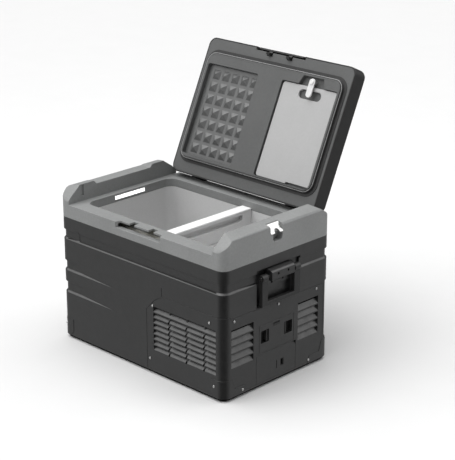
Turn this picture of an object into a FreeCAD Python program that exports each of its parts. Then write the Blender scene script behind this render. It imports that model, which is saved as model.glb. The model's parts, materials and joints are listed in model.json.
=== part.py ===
"""Portable compressor cooler fridge with a hinged lid, drop handles and a pull-out battery.

Frame: millimetres, +X to the right along the long front, +Y to the back, +Z up.  The origin is the
centre of the footprint on the plane that the rubber feet stand on.  The lid is drawn closed and then
turned open about its hinge.
"""

import FreeCAD
import Part
import Sketcher
import os
import re
from FreeCAD import Placement, Rotation, Vector

DIMENSIONS = {
    # chest
    "length": 600,
    "width": 386,
    "corner_radius": 24,
    "body_bottom": 9,
    "split_height": 342,
    "rim_height": 378,
    "shell_wall": 6,
    "fit_gap": 0.5,
    # stepped grooves round the chest: depth of the groove and its ledge, and each groove's foot and head
    "groove_depth": 4.5,
    "upper_groove_low": 281,
    "upper_groove_high": 308,
    "middle_groove_low": 193,
    "middle_groove_high": 221,
    "lower_groove_low": 131,
    "lower_groove_high": 162,
    "groove_fade_start": -230,
    "groove_fade_end": -95,
    "corner_inset": 2.5,
    "corner_inset_low": 62,
    "corner_inset_start": 173,
    # side rails of the top frame
    "rail_inner": 262,
    "rail_top": 424,
    "rail_outer_top": 417,
    "rail_edge_drop": 5,
    "rail_nose_height": 395,
    "rail_dip": 5,
    "rail_dip_half": 96,
    "opener_front": -30,
    "opener_back": 12,
    # tray opening
    "opening_half_length": 243,
    "opening_front": -150,
    "opening_back": 155,
    "opening_radius": 26,
    "skirt_bottom": 355,
    "skirt_wall": 3,
    # food liner
    "liner_wall": 2.5,
    "deep_floor": 62,
    "shallow_floor": 214,
    "deep_right": 27,
    "divider_right": 60,
    "liner_radius": 28,
    "divider_top": 362,
    "divider_cap": 4,
    "led_front": -51,
    "led_back": 57,
    "led_low": 361,
    "led_high": 373,
    "scoop_low": 334,
    "scoop_high": 351,
    "scoop_depth": 12,
    "scoop_front": -108,
    "scoop_back": 122,
    # machine bay and insulation
    "bay_left": 52,
    "bay_top": 192,
    # compressor
    "compressor_x": 118,
    "compressor_y": 92,
    "compressor_radius": 56,
    "compressor_low": 26,
    "compressor_high": 138,
    "compressor_dome": 88,
    "compressor_wall": 3.5,
    "motor_radius": 40,
    "mount_reach": 46,
    "mount_plate": 2.5,
    # condenser
    "fin_start": 80,
    "fin_pitch": 13,
    "fin_thick": 1.2,
    "fin_low": 32,
    "fin_high": 182,
    "condenser_y": -164,
    "condenser_half": 12,
    "tube_left": 76,
    "tube_right": 268,
    "tube_low": 46,
    "tube_pitch": 30,
    "tube_radius": 4,
    # fan
    "fan_x": 150,
    "fan_z": 88,
    "fan_half": 60,
    "fan_front": -140,
    "fan_back": -116,
    "fan_bore": 56,
    "fan_hub": 18,
    "shaft_radius": 2,
    # controller
    "controller_left": 196,
    "controller_right": 270,
    "controller_front": 88,
    "controller_back": 158,
    "controller_low": 34,
    # vent cover on the front right corner
    "cover_thick": 3.5,
    "cover_left": 29,
    "cover_low": 12,
    "cover_shoulder": 175,
    "cover_slope_x": 60,
    "cover_slope_z": 206,
    "cover_peak_x": 88,
    "cover_top": 222,
    "cover_side_top": 216,
    "cover_side_end": 168,
    "flange": 12,
    # louvres
    "vent_left": 54,
    "vent_right": 273,
    "vent_low": 66,
    "vent_high": 187,
    "vent_pitch": 14.8,
    "slat_rise": 9.5,
    "slat_run": 8.5,
    "slat_lip": 3,
    "sill": 0.8,
    "mullion": 5,
    "side_vent_low": 83,
    "side_vent_high": 187,
    "side_vent_pitch": 20,
    "side_slat_rise": 13,
    # battery pack
    "battery_front": -68,
    "battery_back": 57,
    "battery_low": 93.5,
    "battery_high": 167,
    "battery_depth": 104,
    "grip_low": 119,
    "grip_high": 152,
    "grip_depth": 12,
    # port panel
    "port_front": -78,
    "port_back": 65,
    "port_low": 14,
    "port_high": 90,
    "socket_front": 10,
    "socket_back": 21,
    "socket_low": 37,
    "socket_high": 57,
    # corner guards
    "guard_stand": 0.8,
    "guard_set": 2,
    "guard_high": 57,
    "guard_low": 30,
    "guard_front_run": 41,
    "guard_side_run": 29,
    "guard_toe_run": 74,
    # handles
    "recess_floor": 290,
    "recess_half": 78,
    "recess_low": 218,
    "recess_high": 315,
    "pivot_x": 303.5,
    "pivot_z": 293,
    "bracket_half": 41,
    "bracket_face": 316,
    "bail_inner": 48,
    "bail_outer": 68,
    "bail_front": 309,
    "bail_back": 298,
    "bail_bottom": 218,
    "grip_bar": 13,
    "eye_radius": 9.5,
    "handle_pin_radius": 3.5,
    "running_fit": 0.05,
    # lid, drawn closed
    "lid_half": 259,
    "lid_front": -187,
    "lid_back": 193,
    "lid_low": 380,
    "lid_high": 428,
    "lid_radius": 22,
    "lid_wall": 3,
    "hinge_y": 186,
    "hinge_z": 394.4,
    "lid_open_angle": 114.8,
    "hinge_offset": 170,
    "lug_half": 18,
    "lug_radius": 8,
    "lug_back": 204,
    "lug_arm_half": 2,
    "strip_half": 258,
    "strip_low": 348,
    "strip_back": 201.5,
    "strip_top": 379.2,
    "hinge_pin_radius": 3,
    "notch_half": 30,
    "notch_front": 165,
    "notch_top": 421,
    "inner_panel": 3.2,
    "plateau_half": 235,
    "plateau_front": -143,
    "plateau_back": 148,
    "plateau_low": 368,
    "plateau_radius": 24,
    "cushion_left": -228,
    "cushion_right": -44,
    "cushion_front": -114,
    "cushion_back": 139,
    "cushion_floor": 382,
    "stud_pitch": 34.5,
    "stud_start": 31.8,
    "stud_half": 13.5,
    "stud_height": 8.5,
    "board_left": 45,
    "board_right": 228,
    "board_front": -113,
    "board_back": 143,
    "board_low": 372,
    "board_high": 379,
    "board_gap": 1.5,
    "board_side_gap": 3.5,
    "clip_x": 144,
    "clip_y": -124,
    "clip_low": 363,
    "clip_high": 367,
    # latch, drawn closed
    "latch_half": 78,
    "latch_notch_half": 84,
    "latch_notch_depth": 16,
    "latch_notch_top": 412,
    "latch_inner_depth": 9,
    "latch_pivot_y": -180,
    "latch_pivot_z": 404,
    "latch_pin_radius": 2,
    "hook_offset": 35,
    "hook_half": 6,
    # control panel on the lid
    "panel_x": 150,
    "panel_y": -128,
    "panel_half_x": 62,
    "panel_half_y": 24,
}

doc = FreeCAD.newDocument("CoolerFridge")
sheet = doc.addObject("Spreadsheet::Sheet", "Dims")
for row, (alias, size) in enumerate(DIMENSIONS.items(), 1):
    sheet.set(f"A{row}", alias)
    sheet.set(f"B{row}", str(size))
    sheet.setAlias(f"B{row}", alias)
doc.recompute()

PLANE_ROLES = {"XY": "XY_Plane", "XZ": "XZ_Plane", "YZ": "YZ_Plane"}
AXIS_TURNS = {
    "X": Rotation(Vector(0, 1, 0), 90),
    "Y": Rotation(Vector(1, 0, 0), -90),
    "Z": Rotation(),
}
nodes = {}


def bound(text):
    """The expression with each dimension's name pointed at its cell."""
    return re.sub(r"[a-z_]\w*", lambda word: "Dims." + word[0]
                  if word[0] in DIMENSIONS else word[0], str(text))


def number(text):
    """The value of an expression of dimensions."""
    return float(sheet.evalExpression(bound(text).replace("Dims.", "")))


def mirrored(pair, sign):
    """A low-high pair, or its reflection when sign is -1."""
    low, high = pair
    return (low, high) if sign > 0 else (f"-({high})", f"-({low})")


def box(name, x, y, z):
    """A block between three low-high pairs."""
    item = doc.addObject("Part::Box", name)
    for size, axis, (low, high) in (("Length", "x", x), ("Width", "y", y), ("Height", "z", z)):
        item.setExpression(size, bound(f"({high}) - ({low})"))
        item.setExpression(f"Placement.Base.{axis}", bound(low))
    return item


def rod(name, axis, centre, radius, low, high):
    """A cylinder along an axis; centre gives the other two coordinates in X, Y, Z order."""
    item = doc.addObject("Part::Cylinder", name)
    item.setExpression("Radius", bound(radius))
    item.setExpression("Height", bound(f"({high}) - ({low})"))
    item.Placement = Placement(Vector(), AXIS_TURNS[axis])
    others = [letter for letter in "XYZ" if letter != axis]
    item.setExpression(f"Placement.Base.{axis.lower()}", bound(low))
    for letter, place in zip(others, centre):
        item.setExpression(f"Placement.Base.{letter.lower()}", bound(place))
    return item


def prism(name, plane, corners, low, high, radius=None):
    """A padded outline: corners are pairs of expressions on the plane, low and high are its ends."""
    body = doc.addObject("PartDesign::Body", name)
    sketch = body.newObject("Sketcher::SketchObject", name + "Outline")
    role = PLANE_ROLES[plane]
    support = next(item for item in body.Origin.OriginFeatures if item.Role == role)
    sketch.AttachmentSupport = (support, [""])
    sketch.MapMode = "FlatFace"
    start = f"-({high})" if plane == "XZ" else low
    sketch.setExpression("AttachmentOffset.Base.z", bound(start))
    points = [Vector(number(u), number(v), 0) for u, v in corners]
    count = len(points)
    for index, point in enumerate(points):
        sketch.addGeometry(Part.LineSegment(point, points[(index + 1) % count]))
    for index in range(count):
        sketch.addConstraint(Sketcher.Constraint("Coincident", index, 2, (index + 1) % count, 1))
    for index, (u, v) in enumerate(corners):
        for kind, text in (("DistanceX", u), ("DistanceY", v)):
            held = sketch.addConstraint(Sketcher.Constraint(kind, -1, 1, index, 1, number(text)))
            sketch.setExpression(f"Constraints[{held}]", bound(text))
    pad = body.newObject("PartDesign::Pad", name + "Pad")
    pad.Profile = sketch
    pad.setExpression("Length", bound(f"({high}) - ({low})"))
    if radius:
        doc.recompute()
        along = {"XY": Vector(0, 0, 1), "XZ": Vector(0, 1, 0), "YZ": Vector(1, 0, 0)}[plane]
        add_fillet(body, pad, radius, lambda edge: runs_along(edge, along))
    return body


def runs_along(edge, direction):
    """Whether a straight edge leans less than about 45 degrees from a direction."""
    run = edge.lastVertex().Point - edge.firstVertex().Point
    return abs(run.normalize().dot(direction)) > 0.7


def add_fillet(body, feature, radius, wanted):
    """A fillet on every edge of a feature that wanted accepts."""
    names = [f"Edge{index}" for index, edge in enumerate(feature.Shape.Edges, 1) if wanted(edge)]
    fillet = body.newObject("PartDesign::Fillet", body.Name + "Round")
    fillet.Base = (feature, names)
    fillet.setExpression("Radius", bound(radius))
    return fillet


def round_edges(name, item, radius, wanted):
    """The item with each edge that wanted accepts rounded."""
    doc.recompute()
    size = number(radius)
    chosen = [(index, size, size) for index, edge in enumerate(item.Shape.Edges, 1) if wanted(edge)]
    result = doc.addObject("Part::Fillet", name)
    result.Base = item
    result.Edges = chosen
    return result


def plate(name, x, y, z, radius=None):
    """An upright block with rounded vertical edges."""
    corners = [(x[0], y[0]), (x[1], y[0]), (x[1], y[1]), (x[0], y[1])]
    return prism(name, "XY", corners, z[0], z[1], radius)


def fuse(name, *items):
    if len(items) == 1:
        return items[0]
    result = doc.addObject("Part::MultiFuse", name)
    result.Shapes = list(items)
    return result


def cut(name, base, *tools):
    result = doc.addObject("Part::Cut", name)
    result.Base = base
    result.Tool = fuse(name + "Tools", *tools)
    return result


def common(name, first, second):
    result = doc.addObject("Part::MultiCommon", name)
    result.Shapes = [first, second]
    return result


def group(name, items):
    """Separate solids kept in one object."""
    result = doc.addObject("Part::Compound", name)
    result.Links = list(items)
    return result


def node(label, item, pose=None):
    """Name a finished sub-part, and give it its pose."""
    if pose is not None and item.ExpressionEngine:
        item = group(label + "Posed", [item])
    item.Label = label
    if pose is not None:
        item.Placement = pose
    nodes[label] = item
    return item


def chest_prism(name, inset, z, radius=None):
    """A rounded block that follows the chest's outline, set in by inset."""
    x = (f"-(length / 2 - ({inset}))", f"length / 2 - ({inset})")
    y = (f"-(width / 2 - ({inset}))", f"width / 2 - ({inset})")
    return plate(name, x, y, z, radius or f"corner_radius - ({inset})")


def groove(name, low, high):
    """A groove round the chest with an upright back and a sloping ledge at its foot."""
    ring = chest_prism(name + "Band", "-5", (low, high))
    back = chest_prism(name + "Back", "groove_depth", (low, f"{high} + 1"))
    ledge = chest_prism(name + "Ledge", "0", (f"{low} - 1", f"{low} + groove_depth"))
    doc.recompute()
    top = number(f"{low} + groove_depth")
    solid = ledge.Tip
    slope = ledge.newObject("PartDesign::Chamfer", name + "Slope")
    slope.Base = (solid, [f"Edge{index}" for index, edge in enumerate(ledge.Shape.Edges, 1)
                              if edge.BoundBox.ZMin > top - 0.01])
    slope.setExpression("Size", bound("groove_depth - 0.01"))
    return cut(name, ring, back, ledge)


def faded_groove(name, low, high):
    """A groove on the left end that dies out along the front and back faces."""
    whole = groove(name + "Ring", low, high)
    left = box(name + "Zone", ("-length", "groove_fade_end"), ("-width", "width"),
               (f"{low} - 1", f"{high} + 1"))
    wedges = []
    for sign in (-1, 1):
        face = f"{sign} * width / 2"
        back = f"{sign} * (width / 2 - groove_depth)"
        far = f"{sign} * (width / 2 - groove_depth - 2)"
        corners = [("groove_fade_start", back), ("groove_fade_end", face), ("groove_fade_end + 2", face),
                   ("groove_fade_end + 2", far), ("groove_fade_start", far)]
        side = "Front" if sign < 0 else "Rear"
        wedges.append(prism(name + "Fade" + side, "XY", corners, f"{low} - 1", f"{high} + 1"))
    return cut(name, common(name + "Left", whole, left), *wedges)


def cover_zone(name, gap, reach):
    """The outline of the vent cover: a stepped field on the front and a lower one along the right side."""
    front = prism(
        name + "Front", "XZ",
        [(f"cover_left + ({gap})", f"cover_low + ({gap})"),
         (f"cover_left + ({gap})", "cover_shoulder"),
         (f"cover_slope_x + ({gap})", f"cover_slope_z - ({gap})"),
         (f"cover_peak_x + ({gap})", f"cover_top - ({gap})"),
         ("length / 2 + 5", f"cover_top - ({gap})"),
         ("length / 2 + 5", f"cover_low + ({gap})")],
        "-width / 2 - 5", f"-width / 2 + ({reach})")
    side = box(name + "Side", (f"length / 2 - ({reach})", "length / 2 + 5"),
               ("-width / 2 - 5", f"cover_side_end - ({gap})"),
               (f"cover_low + ({gap})", f"cover_side_top - ({gap})"))
    bend = box(name + "Bend", ("length / 2 - corner_radius", "length / 2 + 5"),
               ("-width / 2 - 5", "-width / 2 + corner_radius"),
               (f"cover_low + ({gap})", f"cover_top - ({gap})"))
    return fuse(name, front, side, bend)


def guard_zone(name, gap):
    """The stepped outlines of the four corner guards, seen on the front and on the sides."""
    pieces = []
    for sx in (1, -1):
        for sy in (-1, 1):
            tag = f"{name}{'R' if sx > 0 else 'L'}{'F' if sy < 0 else 'B'}"
            edge = f"{sx} * (length / 2 + 5)"
            inner = f"{sx} * (length / 2 - guard_front_run - ({gap}))"
            front_y = mirrored(("width / 2 - 12", "width / 2 + 5"), sy)
            pieces.append(prism(
                tag + "Face", "XZ",
                [(edge, "body_bottom"), (f"{inner} + {sx} * 12", "body_bottom"), (inner, "body_bottom + 14"),
                 (inner, f"guard_high + ({gap})"), (edge, f"guard_high + ({gap})")],
                front_y[0], front_y[1]))
            side_x = mirrored(("length / 2 - 12", "length / 2 + 5"), sx)
            outer = f"{sy} * (width / 2 + 5)"
            high = f"{sy} * (width / 2 - guard_side_run - ({gap}))"
            knee = f"{sy} * (width / 2 - guard_side_run - ({gap}) - 9)"
            toe = f"{sy} * (width / 2 - guard_toe_run - ({gap}))"
            pieces.append(prism(
                tag + "Side", "YZ",
                [(outer, "body_bottom"), (outer, f"guard_high + ({gap})"), (high, f"guard_high + ({gap})"),
                 (knee, f"guard_low + ({gap})"), (toe, f"guard_low + ({gap})"),
                 (f"{toe} - {sy} * 8", "body_bottom")],
                side_x[0], side_x[1]))
            bend_x = mirrored(("length / 2 - corner_radius", "length / 2 + 5"), sx)
            bend_y = mirrored(("width / 2 - corner_radius", "width / 2 + 5"), sy)
            pieces.append(box(tag + "Bend", bend_x, bend_y, ("body_bottom", f"guard_high + ({gap})")))
    return fuse(name, *pieces)


def handle_pocket(name, sign, grow):
    """The block that a handle recess takes out of a side wall, grown by the pocket's own wall."""
    return box(name, mirrored((f"recess_floor - ({grow})", "length / 2 + 1"), sign),
               (f"-recess_half - ({grow})", f"recess_half + ({grow})"),
               (f"recess_low - ({grow})", f"recess_high + ({grow})"))


def outer_shell():
    block = chest_prism("ShellBlock", "0", ("body_bottom", "split_height"))
    cavity = chest_prism("ShellCavity", "shell_wall", ("body_bottom - 1", "split_height + 1"))
    shell = cut("ShellWalls", block, cavity)
    pockets = [handle_pocket("PocketWall" + side, sign, "4") for side, sign in (("R", 1), ("L", -1))]
    inside = chest_prism("PocketLimit", "1", ("body_bottom", "split_height"))
    shell = fuse("ShellWithPockets", shell, common("PocketWalls", fuse("PocketPair", *pockets), inside))
    recesses = [handle_pocket("Recess" + side, sign, "0") for side, sign in (("R", 1), ("L", -1))]
    upper = groove("UpperGroove", "upper_groove_low", "upper_groove_high")
    middle = faded_groove("MiddleGroove", "middle_groove_low", "middle_groove_high")
    lower = faded_groove("LowerGroove", "lower_groove_low", "lower_groove_high")
    inset_ring = cut("InsetRing", chest_prism("InsetBand", "-5", ("corner_inset_low", "middle_groove_high")),
                     chest_prism("InsetCore", "corner_inset",
                                 ("corner_inset_low - 1", "middle_groove_high + 1")))
    inset_zone = box("InsetZone", ("length / 2 - 70", "length"), ("corner_inset_start", "width"),
                     ("corner_inset_low", "middle_groove_high"))
    inset = common("CornerInset", inset_ring, inset_zone)
    outer_layer = cut("CoverLayer",
                      chest_prism("CoverOut", "-6", ("body_bottom - 1", "split_height"), "corner_radius"),
                      chest_prism("CoverIn", "cover_thick", ("body_bottom - 2", "split_height + 1")))
    seat = common("CoverSeat", cover_zone("SeatZone", "0", "20"), outer_layer)
    vent_room = box("VentRoom", ("vent_left - 3", "vent_right + 3"),
                    ("-width / 2 - 1", "-width / 2 + shell_wall + 1"),
                    ("vent_low - 3", "vent_high + 3"))
    window = fuse("Window", cover_zone("WindowZone", "flange", "20"), vent_room)
    guard_layer = cut("GuardLayer",
                      chest_prism("GuardOut", "-6", ("body_bottom - 1", "100"), "corner_radius"),
                      chest_prism("GuardIn", "guard_set", ("body_bottom - 2", "101")))
    guard_seat = common("GuardSeat", guard_zone("GuardSeatZone", "0.3"), guard_layer)
    slit = box("FrontSlit", ("-227.2", "-224.8"), ("-width / 2 - 1", "-width / 2 + 5.4"),
               ("upper_groove_low + 3", "upper_groove_high + 2"))
    seam = box("CoverSeam", ("84.4", "85.6"), ("-width / 2 - 1", "-width / 2 + 1.2"),
               ("cover_top", "cover_top + 23"))
    node("outer_shell", cut("Shell", shell, *recesses, upper, middle, lower, inset, seat, window, guard_seat,
                            slit, seam, *case_screw_rods("ShellScrewHole", "1.8", "8", "2")))


def louvre(name, plane, span, foot, rise, face, sign):
    """A slat that leans in and up from the outer face; face is the coordinate of that face."""
    back = f"{face} - ({sign}) * slat_run"
    corners = [(face, foot), (face, f"{foot} + slat_lip"), (back, f"{foot} + slat_lip + {rise}"),
               (back, f"{foot} + {rise}")]
    return prism(name, plane, corners, span[0], span[1])


def vent_cover():
    layer = cut("CoverSkinLayer", chest_prism("SkinOut", "0", ("cover_low", "cover_top + 4")),
                chest_prism("SkinIn", "cover_thick - 0.2", ("cover_low - 1", "cover_top + 5")))
    skin = common("CoverSkin", cover_zone("SkinZone", "fit_gap", "20"), layer)
    field = box("FrontField", ("vent_left", "vent_right"), ("-width / 2 - 1", "-width / 2 + 12"),
                ("vent_low + sill", "vent_high"))
    side_spans = [("-166", "-89"), ("73", "149")]
    side_fields = [box(f"SideField{index}", ("length / 2 - 12", "length / 2 + 1"), span,
                       ("side_vent_low + sill", "side_vent_high")) for index, span in enumerate(side_spans)]
    battery_hole = box("BatteryHole", ("length / 2 - 12", "length / 2 + 1"),
                       ("battery_front - fit_gap", "battery_back + fit_gap"),
                       ("battery_low - fit_gap", "battery_high + fit_gap"))
    port_hole = box("PortHole", ("length / 2 - 12", "length / 2 + 1"),
                    ("port_front - 0.3", "port_back + fit_gap"),
                    ("port_low - fit_gap", "port_high + fit_gap"))
    guard_layer = cut("CoverGuardLayer",
                      chest_prism("CoverGuardOut", "-6", ("body_bottom", "100"), "corner_radius"),
                      chest_prism("CoverGuardIn", "guard_set", ("body_bottom - 1", "101")))
    guard_seat = common("CoverGuardSeat", guard_zone("CoverGuardZone", "0.3"), guard_layer)
    skin = cut("CoverOpenings", skin, field, *side_fields, battery_hole, port_hole, guard_seat)
    slats = []
    rows = 8
    side_rows = 5
    splits = ["109", "170", "232"]
    columns = list(zip(["vent_left"] + [f"{split} + mullion / 2" for split in splits],
                       [f"{split} - mullion / 2" for split in splits] + ["vent_right"]))
    for row in range(rows):
        foot = f"vent_low + {row} * vent_pitch"
        spans = [("vent_left", "vent_right")] if row == rows - 1 else columns
        slats += [louvre(f"Slat{row}_{index}", "YZ", span, foot, "slat_rise", "-width / 2", -1)
                  for index, span in enumerate(spans)]
    bars = [box(f"Mullion{index}", (f"{split} - mullion / 2", f"{split} + mullion / 2"),
                ("-width / 2 + 4", "-width / 2 + slat_run"), ("vent_low - 2", "vent_high + 1"))
            for index, split in enumerate(splits)]
    for field_index, span in enumerate(side_spans):
        slats += [louvre(f"SideSlat{field_index}_{row}", "XZ", span,
                         f"side_vent_low + {row} * side_vent_pitch",
                         "side_slat_rise", "length / 2", 1) for row in range(side_rows)]
    rim_parts = [("vent_left - 2", "vent_left"), ("vent_right", "vent_right + 2")]
    rims = [box(f"FieldRim{index}", span, ("-width / 2 + 3", "-width / 2 + slat_run"),
                ("vent_low - 2", "vent_high + 2"))
            for index, span in enumerate(rim_parts)]
    rims.append(box("FieldHead", ("vent_left - 2", "vent_right + 2"),
                    ("-width / 2 + 3", "-width / 2 + slat_run"),
                    ("vent_high", "vent_high + 2")))
    for index, (low, high) in enumerate(side_spans):
        for end, span in (("A", (f"{low} - 2", low)), ("B", (high, f"{high} + 2"))):
            rims.append(box(f"SideRim{index}{end}", ("length / 2 - slat_run", "length / 2 - 3"), span,
                            ("side_vent_low - 1", "side_vent_high + 1")))
    node("vent_cover", cut("Cover", fuse("CoverBody", skin, *slats, *bars, *rims),
                           *case_screw_rods("CoverScrewHole", "1.8", "8", "2")))


def corner_guards():
    layer = cut("GuardRing", chest_prism("GuardRingOut", "-guard_stand", ("body_bottom", "guard_high")),
                chest_prism("GuardRingIn", "guard_set - 0.2", ("body_bottom - 1", "guard_high + 1")))
    node("corner_guards", cut("Guards", common("GuardsBlank", guard_zone("GuardZone", "0"), layer),
                              *case_screw_rods("GuardScrewHole", "1.8", "8", "2")))


def rail(sign):
    """One side rail: a sloping top between two sloping ends."""
    side = "Right" if sign > 0 else "Left"
    section = prism(
        side + "RailSection", "XZ",
        [(f"{sign} * rail_inner", "split_height"), (f"{sign} * rail_inner", "rail_top"),
         (f"{sign} * (length / 2 - 4)", "rail_outer_top"),
         (f"{sign} * length / 2", "rail_outer_top - rail_edge_drop"),
         (f"{sign} * length / 2", "split_height")],
        "-width / 2", "width / 2")
    profile = prism(
        side + "RailProfile", "YZ",
        [("-width / 2", "split_height"), ("-width / 2", "rail_nose_height - 8"),
         ("-width / 2 + 6", "rail_nose_height"), ("-width / 2 + 41", "rail_top + 1"),
         ("width / 2 - 50", "rail_top + 1"), ("width / 2 - 14", "rail_nose_height + 6"),
         ("width / 2", "rail_nose_height - 10"), ("width / 2", "split_height")],
        *mirrored(("rail_inner - 1", "length / 2 + 1"), sign))
    return common(side + "Rail", section, profile)


def top_frame():
    slab = chest_prism("FrameSlab", "0", ("split_height", "rim_height"), "corner_radius")
    rails = [rail(1), rail(-1)]
    dip = prism("RailDip", "YZ",
                [("-rail_dip_half - 10", "rail_top + 2"),
                 ("-rail_dip_half", "rail_outer_top - rail_dip + 3"),
                 ("rail_dip_half", "rail_outer_top - rail_dip + 3"), ("rail_dip_half + 10", "rail_top + 2")],
                "-length / 2 - 1", "-rail_inner + 1")
    outline = chest_prism("FrameOutline", "0", ("split_height", "rail_top + 1"), "corner_radius")
    solid = common("FrameSolid", fuse("FrameBlock", slab, *rails), outline)
    opening_x = ("-opening_half_length", "opening_half_length")
    opening_y = ("opening_front", "opening_back")
    opening = plate("TrayOpening", opening_x, opening_y, ("split_height - 1", "rim_height + 1"),
                    "opening_radius")
    grown_x = ("-opening_half_length - skirt_wall", "opening_half_length + skirt_wall")
    grown_y = ("opening_front - skirt_wall", "opening_back + skirt_wall")
    under = cut("FrameUnder", chest_prism("UnderBlock", "8", ("split_height - 1", "rim_height - 6")),
                plate("UnderKeep", grown_x, grown_y, ("split_height - 2", "rim_height - 5"),
                      "opening_radius + skirt_wall"))
    step = plate("SkirtEnd", grown_x, grown_y, ("split_height - 2", "skirt_bottom"),
                 "opening_radius + skirt_wall")
    recess = prism("FingerRecess", "XY",
                   [("-82", "-width / 2 - 1"), ("82", "-width / 2 - 1"), ("75", "-width / 2 + 14"),
                    ("-75", "-width / 2 + 14")], "rim_height - 16", "rim_height + 1")
    slots = [box(f"LatchSlot{index}", hook_span(sign), ("-width / 2 + 13.9", "-width / 2 + 32"),
                 ("rim_height - 5.5", "rim_height + 1")) for index, sign in enumerate((-1, 1))]
    under_slots = [box(f"SlotWell{index}", hook_span(sign), ("-width / 2 + 14", "-width / 2 + 32"),
                       ("rim_height - 14", "rim_height")) for index, sign in enumerate((-1, 1))]
    strip = prism("HingeStrip", "YZ",
                  [("width / 2 - 1", "strip_low"), ("strip_back", "strip_low + 8"),
                   ("strip_back", "strip_top"),
                   ("width / 2", "strip_top"), ("width / 2 - 1", "rim_height")], "-strip_half", "strip_half")
    lug_seats = [box(f"LugSeat{index}",
                     (f"{sign} * hinge_offset - lug_half - 0.3", f"{sign} * hinge_offset + lug_half + 0.3"),
                     ("width / 2", "lug_back"), ("strip_low - 1", "strip_top + 1"))
                 for index, sign in enumerate((-1, 1))]
    pocket = rod("OpenerPocket", "X", ("-5", "rim_height + 10"), "17", "length / 2 - 16", "length / 2 + 1")
    pocket_keep = box("OpenerPocketZone", ("length / 2 - 20", "length / 2 + 2"), ("-30", "20"),
                      ("rim_height - 2", "rim_height + 22"))
    blade_seat = prism("BladeSeat", "XZ",
                       [("282", "rail_top + 1"), ("282", "rim_height + 38"),
                        ("length / 2 + 1", "rim_height + 17"),
                        ("length / 2 + 1", "rail_top + 1")], "opener_front - 0.3", "opener_back + 0.3")
    notch = box("RailNotch", ("-rail_inner - 4", "-rail_inner + 1"), ("-149", "-140"),
                ("rim_height + 14", "rail_top - 2"))
    led_seat = box("LedSeat", ("-opening_half_length - 1.5", "-opening_half_length + 1"),
                   ("led_front - 0.3", "led_back + 0.3"), ("led_low - 0.3", "led_high + 0.3"))
    frame = cut("FrameRaw", solid, opening, under, step, recess, *slots, *under_slots, dip,
                common("OpenerHollow", pocket, pocket_keep), blade_seat, notch, led_seat)
    node("top_frame", fuse("FrameWithStrip", frame, cut("StripSeated", strip, *lug_seats)))


def opener_blade():
    blade = prism("Blade", "XZ",
                  [("283", "rim_height + 40.3"), ("285", "rim_height + 40.6"),
                   ("length / 2 + 2", "rim_height + 19.5"),
                   ("length / 2 + 0.5", "rim_height + 18.2"), ("283", "rim_height + 38.2")], "opener_front",
                  "opener_back")
    tooth = rod("BladeNotch", "Z", ("length / 2 + 3", "-8"), "9", "rim_height + 10", "rim_height + 30")
    node("bottle_opener", cut("OpenerBlade", blade, tooth))


def compartment(name, grow, top):
    """The two joined hollows of the liner, grown outwards by grow."""
    deep = plate(name + "Deep", (f"-opening_half_length - ({grow})", f"deep_right + ({grow})"),
                 (f"opening_front - ({grow})", f"opening_back + ({grow})"), (f"deep_floor - ({grow})", top),
                 f"liner_radius + ({grow})")
    shallow = plate(name + "Shallow", (f"-20 - ({grow})", f"opening_half_length + ({grow})"),
                    (f"opening_front - ({grow})", f"opening_back + ({grow})"),
                    (f"shallow_floor - ({grow})", top),
                    f"liner_radius + ({grow})")
    return fuse(name, deep, shallow)


def liner():
    outer = compartment("LinerOut", "liner_wall", "skirt_bottom - 0.2")
    inner = compartment("LinerIn", "0", "skirt_bottom + 1")
    doc.recompute()
    node("liner", cut("Liner", outer, inner))


def evaporator():
    """A cold plate wrapped round the deep compartment, between the liner and the foam."""
    spans = []
    for name, grow in (("Out", "liner_wall + 1.9"), ("In", "liner_wall + 0.4")):
        spans.append(plate("Evaporator" + name,
                           (f"-opening_half_length - ({grow})", f"deep_right + ({grow})"),
                           (f"opening_front - ({grow})", f"opening_back + ({grow})"),
                           ("deep_floor + 30", "shallow_floor - 15"), f"liner_radius + ({grow})"))
    node("evaporator_plate", cut("Evaporator", *spans))


def insulation():
    block = chest_prism("FoamBlock", "shell_wall + 0.3", ("body_bottom + 5", "split_height - 0.5"))
    hollow = compartment("FoamHollow", "liner_wall + 3.4", "split_height + 20")
    bay = box("FoamBay", ("bay_left", "length"), ("-width", "width"), ("0", "bay_top"))
    pockets = [handle_pocket("FoamPocket" + side, sign, "5") for side, sign in (("R", 1), ("L", -1))]
    node("insulation_foam", cut("Foam", block, hollow, bay, *pockets))


def divider():
    gap = "0.6"
    panel = box("DividerPanel", (f"deep_right + {gap}", "divider_right"),
                (f"opening_front + {gap}", f"opening_back - {gap}"),
                ("shallow_floor + 0.3", "divider_top - divider_cap"))
    scoop = prism("Scoop", "YZ",
                  [("scoop_front", "scoop_high"), ("scoop_front", "scoop_low + 4"),
                   ("scoop_front + 12", "scoop_low"),
                   ("scoop_back - 12", "scoop_low"), ("scoop_back", "scoop_low + 4"),
                   ("scoop_back", "scoop_high")],
                  "divider_right - scoop_depth", "divider_right + 1")
    line = box("DividerGroove", ("divider_right - 3", "divider_right + 1"),
               ("opening_front", "opening_back"),
               ("297", "301"))
    node("divider_panel", cut("Divider", panel, scoop, line))
    cap = box("DividerCapBlock", (f"deep_right + {gap}", "divider_right"),
              (f"opening_front + {gap}", f"opening_back - {gap}"),
              ("divider_top - divider_cap", "divider_top"))
    node("divider_cap", round_edges("DividerCap", cap, "1.5",
                                    lambda edge: runs_along(edge, Vector(0, 1, 0)) and edge.CenterOfMass.z
                                    > number("divider_top") - 0.1))


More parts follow.
